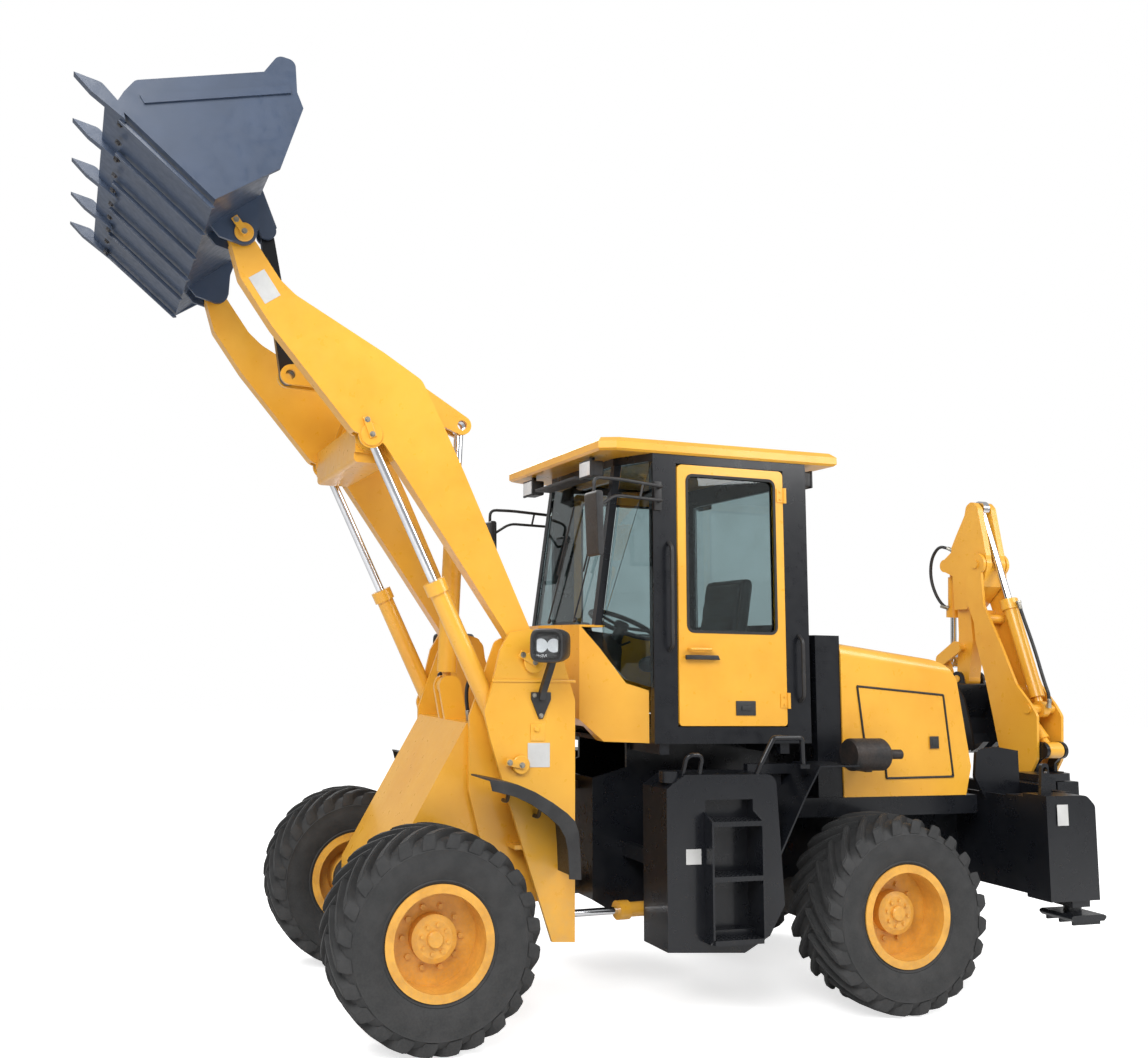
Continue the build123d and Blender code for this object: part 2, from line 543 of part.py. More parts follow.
def cab_frame():
    """A hollow cab of box posts: side walls with door openings, a rear wall, a floor and a header."""
    wall = block((CAB_REAR, CAB_FRONT), (CAB_HALF - CAB_WALL, CAB_HALF), (CAB_FLOOR, CAB_TOP))
    wall -= block(DOOR_X, (CAB_HALF - CAB_WALL - 1, CAB_HALF + 1), DOOR_Z)
    inside = CAB_HALF - CAB_WALL
    rear = block((CAB_REAR, CAB_REAR + 30), (-inside, inside), (CAB_FLOOR, CAB_TOP))
    rear -= block((CAB_REAR - 1, CAB_REAR + 31), (-REAR_WINDOW[0], REAR_WINDOW[0]), REAR_WINDOW[1:])
    floor = block((CAB_REAR, CAB_FRONT), (-inside, inside), (CAB_FLOOR, CAB_FLOOR + 25))
    toe = block((CAB_FRONT, 1600), (-SCREEN_HALF + 20, SCREEN_HALF - 20), (CAB_FLOOR, CAB_FLOOR + 25))
    header = prism(band([(CAB_FRONT, -CAB_HALF), (SCREEN_X[1] + 20, -SCREEN_HALF),
                         (SCREEN_X[1] + 20, SCREEN_HALF),
                         (CAB_FRONT, CAB_HALF)], 50), CAB_TOP - 45, CAB_TOP, "z")
    ends = []
    for x, z in ((SCREEN_X[0], COWL_TOP), (SCREEN_X[1], CAB_TOP - 45)):
        corners = [Vector(x + a, SCREEN_HALF + b, z) for a,
                   b in ((-22, -22), (22, -22), (22, 22), (-22, 22))]
        ends.append(Wire.make_polygon(corners, close=True))
    post = Solid.make_loft(ends, ruled=True)
    return fused(floor, toe, rear, header, *both(wall, post))


def cab_cowl():
    """The hollow cowl that carries the screen: slanted cheeks that fall away towards the doors."""
    plan = [(CAB_FRONT - 40, -660), (1740, -450), (1800, 0), (1740, 450), (CAB_FRONT - 40, 660)]
    side = [(CAB_FRONT, CAB_FLOOR), (1620, CAB_FLOOR), (1800, 1640), (1800, COWL_TOP), (1740, COWL_TOP),
            (1640, 1987), (1510, 1790), (CAB_FRONT, 1754)]
    outer = prism(plan, CAB_FLOOR, COWL_TOP, "z") & prism(side, -CAB_HALF, CAB_HALF)
    plan_in = [(CAB_FRONT - 60, -640), (1722, -430), (1780, 0), (1722, 430), (CAB_FRONT - 60, 640)]
    side_in = [(CAB_FRONT - 1, CAB_FLOOR - 1), (1612, CAB_FLOOR - 1), (1782, 1648), (1782, COWL_TOP - 12),
               (1752, COWL_TOP - 12), (1655, 1975), (1520, 1772), (CAB_FRONT - 1, 1736)]
    inner = prism(plan_in, CAB_FLOOR - 2, COWL_TOP, "z") & prism(side_in, -CAB_HALF, CAB_HALF)
    well = block((CAB_FRONT - 1, 1700), (20 - SCREEN_HALF, SCREEN_HALF - 20), (CAB_FLOOR - 1, COWL_TOP + 1))
    top = prism([(1585, -SCREEN_HALF - 22), (1735, -448), (1790, 0), (1735, 448), (1585, SCREEN_HALF + 22)],
                COWL_TOP - 12, COWL_TOP, "z")
    return fused(outer - inner - well, top)


def cab_glass():
    """The screen, the two quarter panes beside it and the rear window."""
    foot, head, y = SCREEN_X[0] + 6, SCREEN_X[1] + 6, SCREEN_HALF - 24
    low, high = COWL_TOP, CAB_TOP - 47
    screen = pane([(foot, -y, low + SEAT), (foot, y, low + SEAT), (head, y, high), (head, -y, high)],
                  GLASS_T)
    sheets = [screen]
    for hand in (1, -1):
        low_rear = Vector(CAB_FRONT + SEAT, hand * (CAB_HALF - 12), 1770)
        middle = Vector(1510, hand * 568, 1812)
        low_front = Vector(foot - 30, hand * (y + 50), 1945)
        post_foot = Vector(foot - 30, hand * (y + 50), low + 8)
        top_front, top_rear = Vector(head - 30, hand * (y + 50), high), Vector(low_rear.X, low_rear.Y, high)
        fan = [low_rear, middle, low_front, post_foot, top_front]
        sheets.append(fused(*[Solid.extrude(Face(Wire.make_polygon([top_rear, a, b], close=True)),
                                            Vector(0, hand * GLASS_T, 0)) for a, b in zip(fan, fan[1:])]))
    half, low, high = REAR_WINDOW
    sheets.append(block((CAB_REAR + 8, CAB_REAR + 8 + GLASS_T), (SEAT - half, half - SEAT),
                        (low + SEAT, high - SEAT)))
    return Compound(children=sheets)


def cab_roof():
    """A flat roof cap with a bevelled rim that overhangs all round."""
    rows = []
    for inset, z in ((14, CAB_TOP), (0, CAB_TOP + 12), (0, CAB_TOP + ROOF_T - 28), (30, CAB_TOP + ROOF_T)):
        x0, x1, y = ROOF_X[0] + inset, ROOF_X[1] - inset, ROOF_HALF - inset
        cut = ROOF_CORNER
        rows.append(Wire.make_polygon([Vector(x0, -y, z), Vector(x1 - cut, -y, z),
                                       Vector(x1, cut / 2 - y, z),
                                       Vector(x1, y - cut / 2, z), Vector(x1 - cut, y, z),
                                       Vector(x0, y, z)],
                                      close=True))
    return Solid.make_loft(rows, ruled=True)


def cab_interior():
    """The operator's seat on its box, the dash, and a wheel on a leaning column."""
    base = CAB_FLOOR + 25
    plinth = block((560, 860), (-210, 210), (base, base + 360))
    cushion = prism([(540, base + 330), (1010, base + 345, 40), (1010, base + 455, 50), (540, base + 430)],
                    -240, 240)
    back = prism([(620, base + 420), (525, base + 1000, 35), (425, base + 1000, 35), (515, base + 400)],
                 -235, 235)
    dash = prism([(1560, base), (1700, COWL_TOP - 40), (1500, COWL_TOP - 20, 60), (1440, base)], -330, 330)
    centre = Plane((1236, 0, base + 650), z_dir=(-0.39, 0, 0.92))
    column = rod((1460, 0, base + 120), tuple(centre.origin), 34)
    hub = Solid.make_cylinder(52, 44, centre.offset(-24))
    ring = Solid.make_torus(205, 16, centre)
    spokes = [centre.location * Rot(0, 0, a) * Solid.make_cylinder(
        9, 175, Plane((30, 0, 0), z_dir=(1, 0, 0))) for a in (0, 120, 240)]
    levers = [rod((1115, y, base + 60), (1080, y, base + 620), 10) for y in (-300, -350)]
    console = block((1010, 1190), (-390, -260), (base, base + 250))
    return fused(plinth, cushion, back, dash, column, hub, ring, *spokes, *levers, console)


def cab_fittings():
    """Mirrors on their tube brackets, and the lamps under the roof."""
    foot = block((1350, 1396), (CAB_HALF + SEAT, CAB_HALF + 10), (2800, 2930))
    x, y = CAB_FRONT - 28, CAB_HALF + 5
    bracket = tube([(x, y, 2900), (x, 760, 2900), (1660, 785, 2920), (1818, 798, 2920), (1818, 798, 2760)],
                   10, 25)
    lower = tube([(x, y, 2820), (x, 755, 2820), (1680, 780, 2830), (1816, 800, 2740)], 9, 25)
    head = prism([(1788, 2480, 15), (1822, 2480, 15), (1842, 2840, 15), (1796, 2840, 15)], 720, 875)
    pieces = both(fused(foot, bracket, lower, head))
    for x, y, z in ((1650, 430, 3030), (330, 560, 3030)):
        lamp = block((x - 45, x + 45), (y - 75, y + 75), (z - 55, z + 45))
        pieces += both(fused(lamp, block((x - 12, x + 12), (y - 12, y + 12), (z, CAB_TOP - SEAT))))
    return Compound(children=pieces)


def door(hand):
    """A door with its window opening, handle recess and hinge knuckles along its rear edge."""
    x0, x1, z0, z1 = DOOR_X[0] + DOOR_GAP, DOOR_X[1] - DOOR_GAP, DOOR_Z[0] + DOOR_GAP, DOOR_Z[1] - DOOR_GAP
    outside = CAB_HALF + 6
    leaf = prism([(x0, z0, 20), (x1, z0, 20), (x1, z1, 30), (x0, z1, 30)], outside - DOOR_T, outside)
    leaf -= prism(window_outline(0), outside - DOOR_T - 1, outside + 1)
    handle = tube([(x1 - 60, outside - 5, 1990), (x1 - 60, outside + 35, 1990),
                   (x1 - 190, outside + 35, 1990),
                   (x1 - 190, outside - 5, 1990)], 9, 14)
    knuckles = [rod((DOOR_HINGE[0], DOOR_HINGE[1], z - 45), (DOOR_HINGE[0], DOOR_HINGE[1], z + 45),
                    KNUCKLE_R)
                for z in (DOOR_Z[0] + 150, DOOR_Z[1] - 150)]
    leaves = [block((DOOR_X[0] - 2, DOOR_X[0] + 50), (outside - 2, outside + 5), (z - 40, z + 40))
              for z in (DOOR_Z[0] + 150, DOOR_Z[1] - 150)]
    shape = fused(leaf, handle, *knuckles, *leaves)
    return shape if hand > 0 else mirror(shape, Plane.XZ)


def window_outline(inset):
    """The door's window, smaller all round by the inset."""
    x0, x1 = DOOR_X[0] + 62 + inset, DOOR_X[1] - 62 - inset
    z0, z1 = DOOR_WINDOW_Z[0] + inset, DOOR_WINDOW_Z[1] - inset
    return [(x0, z0, 30), (x1, z0, 30), (x1, z1, 30), (x0, z1, 30)]


def hood_section(inset, x):
    """The hood's cross-section at a station, open at the bottom."""
    half, top = HOOD_HALF - inset, 2048 - inset
    return Face(outline([(-half, 1100), (half, 1100), (half, top - 20, 70), (half - 70, top, 60),
                         (70 - half, top, 60), (-half, top - 20, 70)], x, "x"))


def hood():
    """The engine hood: its top falls towards the tail, with an opening in each side for a panel."""
    side = [(HOOD_FRONT, 1137), (HOOD_FRONT, 2060), (-678, 1954, 200), (-762, 1838, 60), (-846, 1306, 40),
            (-800, 1137)]
    run = Vector(-1000, 0, -123)
    outer = Solid.extrude(hood_section(0, HOOD_FRONT), run) & prism(side, -HOOD_HALF, HOOD_HALF)
    inner_side = [(HOOD_FRONT + 1, 1136), (HOOD_FRONT + 1, 2060), (-670, 1940, 200), (-747, 1830, 60),
                  (-830, 1306, 40), (-786, 1136)]
    inner = Solid.extrude(hood_section(HOOD_WALL, HOOD_FRONT + 1), run) & prism(inner_side, -HOOD_HALF,
                                                                                HOOD_HALF)
    shell = outer - inner
    for opening in (prism(PANEL_OUTLINE, HOOD_HALF + 2 - PANEL_T - SEAT, HOOD_HALF + 1),
                    prism(scaled(PANEL_OUTLINE, 0.9), HOOD_HALF - HOOD_WALL - 1, HOOD_HALF)):
        shell -= opening
        shell -= mirror(opening, Plane.XZ)
    grille = [block((-860, -740), (-420, 420), (z, z + 14)) & outer for z in range(1380, 1740, 60)]
    window = block((-900, -740), (-420, 420), (1360, 1740))
    return fused(shell - window, *grille)


def scaled(corners, factor):
    """An outline drawn in towards the middle of its corners."""
    cx = sum(c[0] for c in corners) / len(corners)
    cz = sum(c[1] for c in corners) / len(corners)
    return [(cx + (c[0] - cx) * factor, cz + (c[1] - cz) * factor, c[2]) for c in corners]


def hood_panel(hand):
    """A side panel that fills the hood's opening, turned about its top edge."""
    leaf = prism(scaled(PANEL_OUTLINE, PANEL_SHRINK), HOOD_HALF + 2 - PANEL_T, HOOD_HALF + 2)
    latch = prism([(-600, 1420, 8), (-540, 1420, 8), (-540, 1490, 8), (-600, 1490, 8)], HOOD_HALF + 2,
                  HOOD_HALF + 8)
    shape = fused(leaf, latch)
    return shape if hand > 0 else mirror(shape, Plane.XZ)


def hood_bulkhead():
    """The cooling pack between hood and cab: a frame around upright fins."""
    outer = block(BULKHEAD_X, (-HOOD_HALF + 10, HOOD_HALF - 10), (DECK_Z + DECK_T, 2090))
    outer -= block((BULKHEAD_X[0] - 1, BULKHEAD_X[1] + 1), (-HOOD_HALF + 50, HOOD_HALF - 50), (1250, 2040))
    core = block((BULKHEAD_X[0] + 40, BULKHEAD_X[1] - 40), (-HOOD_HALF + 45, HOOD_HALF - 45), (1245, 2045))
    return fused(outer, core)


def muffler():
    """A silencer lying beside the hood, with its inlet bend, tail and saddle."""
    level = (750, 1400)
    body = Solid.revolve(Face(Wire.make_polygon(
        [Vector(x, level[0], level[1] + r) for x,
         r in ((-65, 0), (-65, 84), (-52, 93), (157, 93), (170, 84),
                                                       (170, 0))], close=True)), 360,
        Axis((0, *level), (1, 0, 0)))
    tail = rod((-60, *level), (-190, *level), 28) - rod((-100, *level), (-191, *level), 23)
    inlet = rod((60, 670, level[1]), (60, HOOD_HALF + SEAT, level[1]), 34)
    saddle = block((20, 60), (HOOD_HALF + SEAT, 760), (1300, 1316))
    return fused(body, tail, inlet, saddle)


def tank(hand):
    """A side tank with three steps, hand rails and the mud guard ahead of the rear wheel."""
    low, high = TANK_Y
    body = prism([(1443, 1240), (1330, 1315), (766, 1311, 60), (725, 612), (823, 455), (980, 375),
                  (1443, 400)], low, high)
    recess = block(STEP_X, (high - 60, high + 1), (500, 1180))
    pieces = [body - recess]
    for z in (1050, 765, 440):
        pieces.append(block(STEP_X, (high - 60, high + STEP_REACH), (z, z + 26)))
    for x in (STEP_X[0] - 12, STEP_X[1]):
        pieces.append(prism([(high - 62, 440), (high + STEP_REACH - 30, 440), (high + STEP_REACH, 470),
                             (high + STEP_REACH, 1076),
                             (high - 62, 1150)], x, x + 12, "x"))
    guard = prism(band([(216, 1345), (470, 1345), (575, 1178), (790, 787)], 10), low, high)
    pieces += [guard, block((420, 800), (low, low + 40), (1290, 1345)),
               block((560, 790), (low, low + 10), (1140, 1345))]
    pieces.append(tube([(880, high - 20, 1300), (870, high + 15, 1370), (790, high + 20, 1510),
                        (600, high + 10, 1510),
                        (575, high - 20, 1350)], 14, 25))
    pieces.append(block((545, 605), (high - 50, high), (1340, 1362)))
    pieces.append(tube([(1235, high - 20, 1300), (1235, high + 20, 1420), (1330, high + 20, 1420),
                        (1330, high - 30, 1300)], 12, 35))
    pieces.append(rod((1388, high - 70, 1270), (1388, high - 70, 1330), 55))
    shape = fused(*pieces)
    return shape if hand > 0 else mirror(shape, Plane.XZ)


def engine_block():
    """The engine as one plain block on its bearers."""
    low, high = ENGINE_BAY_X[0] + 30, ENGINE_BAY_X[1] - 30
    half = ENGINE_BAY_HALF - 20
    bearers = [block((x, x + 60), (PLATE - SIDE_RAIL_Y, SIDE_RAIL_Y - PLATE),
                     (780, 830)) for x in (low + 60, high - 120)]
    return fused(prism([(low, 830), (high, 830), (high, 1560, 80), (high - 120, 1780, 60),
                        (low, 1780, 80)], -half, half),
                 *bearers)


def backhoe_frame():
    """The cross frame at the tail: two leg housings, two rails for the carriage and their bracing."""
    rear, front = FRAME_X
    out, inn = LEG_Y + LEG_SIDE / 2 + LEG_FIT + LEG_WALL, LEG_Y - LEG_SIDE / 2 - LEG_FIT - LEG_WALL
    box = prism([(front, 580), (rear, 580), (rear, 1120, 40), (rear + 60, 1179, 60), (front, 1179)], inn,
                out)
    x, fit = LEG_X, LEG_SIDE / 2 + LEG_FIT
    box -= block((x - fit, x + fit), (LEG_Y - fit, LEG_Y + fit), (570, LEG_TOP + 12))
    lug = prism([(-1080, 1170), (-1000, 1170), (-1015, 1360, 22), (-1065, 1360, 22)], LEG_Y - 10,
                LEG_Y + 10)
    lug -= pin((-1040, 1320), LEG_Y - 20, LEG_Y + 20, 18)
    cheek = prism([(front, 640), (-1220, 620), (-1220, 1400), (-1056, 1425, 40), (-900, 1408, 40),
                   (-880, 1240, 40),
                   (front, 1100)], HOOD_HALF - 30, HOOD_HALF - 8)
    wall = block((front - 22, front), (-inn, inn), (600, 1150))
    pieces = both(box, lug, cheek)
    for low, high in RAIL_Z:
        pieces.append(block((rear, rear + RAIL_T), (-inn, inn), (low, high)))
    for z in (RAIL_Z[0][0] + 20, RAIL_Z[1][1] - 60):
        pieces += both(block((rear + RAIL_T, front), (inn - 130, inn), (z, z + 40)))
    return fused(wall, *pieces)


def stabiliser(hand):
    """A square leg with its cleated foot on a ball neck."""
    half = LEG_SIDE / 2
    leg = block((LEG_X - half, LEG_X + half), (LEG_Y - half, LEG_Y + half), (540, LEG_TOP))
    neck = rod((LEG_X, LEG_Y, 500), (LEG_X, LEG_Y, 545), 48)
    foot = prism([(LEG_X - 135, 495, 10), (LEG_X - 110, 470, 10), (LEG_X + 110, 470, 10),
                  (LEG_X + 135, 495, 10),
                  (LEG_X + 110, 506), (LEG_X - 110, 506)], LEG_Y - 115, LEG_Y + 115)
    cleats = [block((LEG_X - 100, LEG_X + 100), (LEG_Y + y - 6, LEG_Y + y + 6), (448, 471)) for y in (-90,
                                                                                                      0,
                                                                                                      90)]
    shape = fused(leg, neck, foot, *cleats)
    return shape if hand > 0 else mirror(shape, Plane.XZ)


def carriage():
    """The plate that hooks over both rails and slides across the machine, with the swing ears."""
    rear = FRAME_X[0]
    y0, y1 = SWING_Y - CARRIAGE_HALF, SWING_Y + CARRIAGE_HALF
    low, high = RAIL_Z[0][0], RAIL_Z[1][1]
    front = rear + RAIL_T + SEAT
    hook = [(rear - 28, low - 26), (rear + RAIL_T + 20, low - 26), (rear + RAIL_T + 20, low + 60),
            (front, low + 60), (front, low - SEAT), (rear - SEAT, low - SEAT), (rear - SEAT, high + SEAT),
            (front, high + SEAT), (front, high - 60), (rear + RAIL_T + 20, high - 60),
            (rear + RAIL_T + 20, high + 26), (rear - 28, high + 26)]
    pieces = [prism(hook, y0, y1)]
    for z in SWING_Z:
        ear = prism([(rear - 27, SWING_Y - 110), (rear - 27, SWING_Y + 110), (DIG_X, SWING_Y + 62),
                     (DIG_X, SWING_Y - 62)], z - 22, z + 22, "z")
        pieces += [ear, rod((DIG_X, SWING_Y, z - 22), (DIG_X, SWING_Y, z + 22), 62)]
    pieces += [block((DIG_X + 140, rear - 20), (SWING_Y - s * 100 - 8, SWING_Y - s * 100 + 8),
                     (SWING_Z[0], SWING_Z[1]))
               for s in (-1, 1)]
    frame = fused(*pieces)
    return frame - rod((DIG_X, SWING_Y, 600), (DIG_X, SWING_Y, 1300), PIN_R + PIN_FIT)


def swing_post():
    """The casting that swings in the carriage's ears and carries the boom's foot and cylinder."""
    low, high = SWING_Z[0] + 28, SWING_Z[1] - 28
    half = POST_HALF
    web = prism([(SWING_Y + 68, low), (SWING_Y + 68, high), (SWING_Y - 92, high), (340, 1268), (245, 1240),
                 (212, 1200, 30), (230, 1140, 40), (SWING_Y - 90, low)], DIG_X - half, DIG_X + half, "x")
    pieces = [web, pin(BOOM_FOOT, DIG_X - BOOM_HALF - 14, DIG_X + BOOM_HALF + 14, PIN_R, "x"),
              pin(BOOM_FOOT, DIG_X - half, DIG_X + half, 50, "x"),
              rod((DIG_X, SWING_Y, SWING_Z[0] - 30), (DIG_X, SWING_Y, SWING_Z[1] + 30), PIN_R)]
    y, z = BOOM_CYL_BASE
    fork = fused(prism([(SWING_Y - 92, high - 10), (335, 1262), (y - 55, z - 10), (y, z + 50, 30),
                        (y + 50, z, 30),
                        (SWING_Y - 90, 1300)],
                       DIG_X + half - 24, DIG_X + half, "x"),
                       pin(BOOM_CYL_BASE, DIG_X + half - 24, DIG_X + half, 55, "x"))
    pieces += [fork, Pos(24 - 2 * half, 0, 0) * fork,
               pin(BOOM_CYL_BASE, DIG_X - half, DIG_X + half, PIN_R, "x")]
    return fused(*pieces)


def boom():
    """Two tapering side plates closed on the inner edge, with bosses at every pin."""
    profile = [(335, 1160, 60), (440, 1330, 60), (456, 1612, 50), (405, 1687, 60), (299, 1806),
               (183, 2068), (47, 2340),
               (30, 2700, 60), (-90, 2700, 60), (-108, 2382), (-45, 2223), (-37, 2092), (22, 1891),
               (82, 1614),
               (128, 1387), (205, 1160, 60)]
    low, high = DIG_X + BOOM_HALF - BOOM_PLATE, DIG_X + BOOM_HALF
    inner_edge = [(-80, 2310), (-45, 2223), (-37, 2092), (22, 1891), (82, 1614), (128, 1387)]
    web = prism(band(inner_edge, BOOM_PLATE * 0.7), DIG_X - BOOM_HALF, DIG_X + BOOM_HALF, "x")
    sides = []
    for a, b in ((low, high), (2 * DIG_X - high, 2 * DIG_X - low)):
        sides += [prism(profile, a, b, "x"), pin(BOOM_FOOT, a, b, 74, "x"), pin(STICK_PIVOT, a, b, 78, "x")]
    cylinder_pins = [pin(STICK_CYL_BASE, DIG_X - BOOM_HALF - 10, DIG_X + BOOM_HALF + 10, PIN_R, "x"),
                     pin(STICK_PIVOT, DIG_X - BOOM_HALF - 12, DIG_X + BOOM_HALF + 12, PIN_R, "x")]
    tie = pin((-5, 2250), DIG_X - BOOM_HALF, DIG_X + BOOM_HALF, 32, "x")
    stubs = [pin(BOOM_CYL_PIN, DIG_X + EYE_T / 2 + RUN, DIG_X + BOOM_HALF, 44, "x"),
             pin(BOOM_CYL_PIN, DIG_X - BOOM_HALF, DIG_X - EYE_T / 2 - RUN, 44, "x")]
    shape = fused(web, tie, *sides, *cylinder_pins, *stubs)
    shape -= pin(BOOM_FOOT, DIG_X - 200, DIG_X + 200, PIN_R + PIN_FIT, "x")
    return shape


def stick():
    """A boxed stick: a wide head about its pivot, a slotted ear for its cylinder and a slim tip."""
    head = [(60, 2600), (20, 2473), (-140, 2320), (-255, 2320), (-262, 2600), (-262, 2763), (-213, 2845),
            (-123, 2985), (-105, 3050, 40), (-47, 3085, 40), (0, 3030, 40), (60, 2690)]
    tail = [(-140, 2330), (-125, 2100), (-180, 1835), (-290, 1835), (-255, 2140), (-255, 2400)]
    wide, slim = STICK_HALF, STICK_TIP_HALF
    shape = fused(prism(head, DIG_X - wide, DIG_X + wide, "x"),
                  pin(STICK_PIVOT, DIG_X - wide, DIG_X + wide, 76, "x"),
                  prism(tail, DIG_X - slim, DIG_X + slim, "x"),
                  pin(DIG_PIN, DIG_X - slim, DIG_X + slim, 58, "x"),
                  pin(ROCKER_PIVOT, DIG_X - slim, DIG_X + slim, 50, "x"),
                  prism([(CURL_BASE[0], CURL_BASE[1] + 45), (-255, 2740), (-255, 2560),
                         (CURL_BASE[0], CURL_BASE[1] - 45)],
                        DIG_X - wide, DIG_X + wide, "x"),
                        pin(CURL_BASE, DIG_X - wide, DIG_X + wide, 46, "x"))
    slot = EYE_T / 2 + RUN
    shape -= strap(STICK_CYL_PIN, (60, 3000), EYE_R + 14, EYE_R + 14, DIG_X - slot, DIG_X + slot, "x")
    shape -= strap(STICK_CYL_PIN, moved(STICK_CYL_PIN, STICK_EYE_SWAY), EYE_R + FORK_ROOM,
                   EYE_R + FORK_ROOM,
                   DIG_X - slot, DIG_X + slot, "x")
    shape -= strap(STICK_CYL_PIN, along(STICK_CYL_PIN, STICK_CYL_BASE, 480), 34, 34, DIG_X - slot,
                   DIG_X + slot, "x")
    shape -= block((DIG_X - slot, DIG_X + slot), (CURL_BASE[0] - 60, CURL_BASE[0] + 72),
                   (2480, CURL_BASE[1] + 70))
    shape -= pin(STICK_PIVOT, DIG_X - 200, DIG_X + 200, PIN_R + PIN_FIT, "x")
    pins = [pin(DIG_PIN, DIG_X - BUCKET_EAR_X[1] - 8, DIG_X + BUCKET_EAR_X[1] + 8, DIG_PIN_R, "x"),
            pin(ROCKER_PIVOT, DIG_X - ROCKER_X[1], DIG_X + ROCKER_X[1], DIG_PIN_R, "x"),
            pin(CURL_BASE, DIG_X - wide, DIG_X + wide, DIG_PIN_R, "x")]
    return fused(shape, *pins)


def rocker():
    """Two short levers joined by stub pins for the link."""
    low, high = ROCKER_X
    pieces = []
    for s in (1, -1):
        a, b = sorted((DIG_X + s * low, DIG_X + s * high))
        lever = strap(ROCKER_PIVOT, ROCKER_PIN, 44, 42, a, b, "x")
        lever -= pin(ROCKER_PIVOT, a - 1, b + 1, DIG_PIN_R + PIN_FIT, "x")
        stub = sorted((DIG_X + s * LINK_X[0], DIG_X + s * high))
        pieces.append(fused(lever, pin(ROCKER_PIN, *stub, DIG_PIN_R, "x")))
    return Compound(children=pieces)


def bucket_link():
    """Two links from the rocker to the digging bucket."""
    pieces = []
    for s in (1, -1):
        a, b = sorted((DIG_X + s * LINK_X[0], DIG_X + s * LINK_X[1]))
        bar = strap(ROCKER_PIN, DIG_LINK_PIN, LINK_HALF, LINK_HALF, a, b, "x")
        bar -= pin(ROCKER_PIN, a - 1, b + 1, DIG_PIN_R + PIN_FIT, "x")
        pieces.append(bar - pin(DIG_LINK_PIN, a - 1, b + 1, DIG_PIN_R, "x"))
    return Compound(children=pieces)


def digging_bucket():
    """A rounded trench bucket with side plates, teeth and ears for its pin and link."""
    floor = [(-150, 1800), (-244, 1656), (-300, 1560), (-290, 1440), (-215, 1350), (-110, 1325),
             (-10, 1362)]
    shell = prism(band(floor, DIG_WALL), DIG_X - DIG_BUCKET_HALF, DIG_X + DIG_BUCKET_HALF, "x")
    side = floor + [(-25, 1480), (-80, 1690)]
    pieces = [shell]
    for s in (1, -1):
        a, b = sorted((DIG_X + s * DIG_BUCKET_HALF, DIG_X + s * (DIG_BUCKET_HALF - DIG_WALL)))
        pieces.append(prism(side, a, b, "x"))
        a, b = sorted((DIG_X + s * BUCKET_EAR_X[0], DIG_X + s * BUCKET_EAR_X[1]))
        ear = fused(prism([(-170, 1780), (-200, 1860), (-260, 1870), (-320, 1720), (-335, 1600),
                           (-300, 1550)], a, b, "x"),
                    pin(DIG_PIN, a, b, 52, "x"), pin(DIG_LINK_PIN, a, b, 44, "x"))
        pieces.append(ear - pin(DIG_PIN, a - 1, b + 1, DIG_PIN_R + PIN_FIT, "x")
                      - pin(DIG_LINK_PIN, a - 1, b + 1, DIG_PIN_R, "x"))
    for i in range(DIG_TEETH):
        x = DIG_X + (i / (DIG_TEETH - 1) - 0.5) * (2 * DIG_BUCKET_HALF - 60)
        pieces.append(prism([(-40, 1338), (-45, 1372), (10, 1395), (72, 1414), (20, 1368)], x - 24, x + 24,
                            "x"))
    return fused(*pieces)


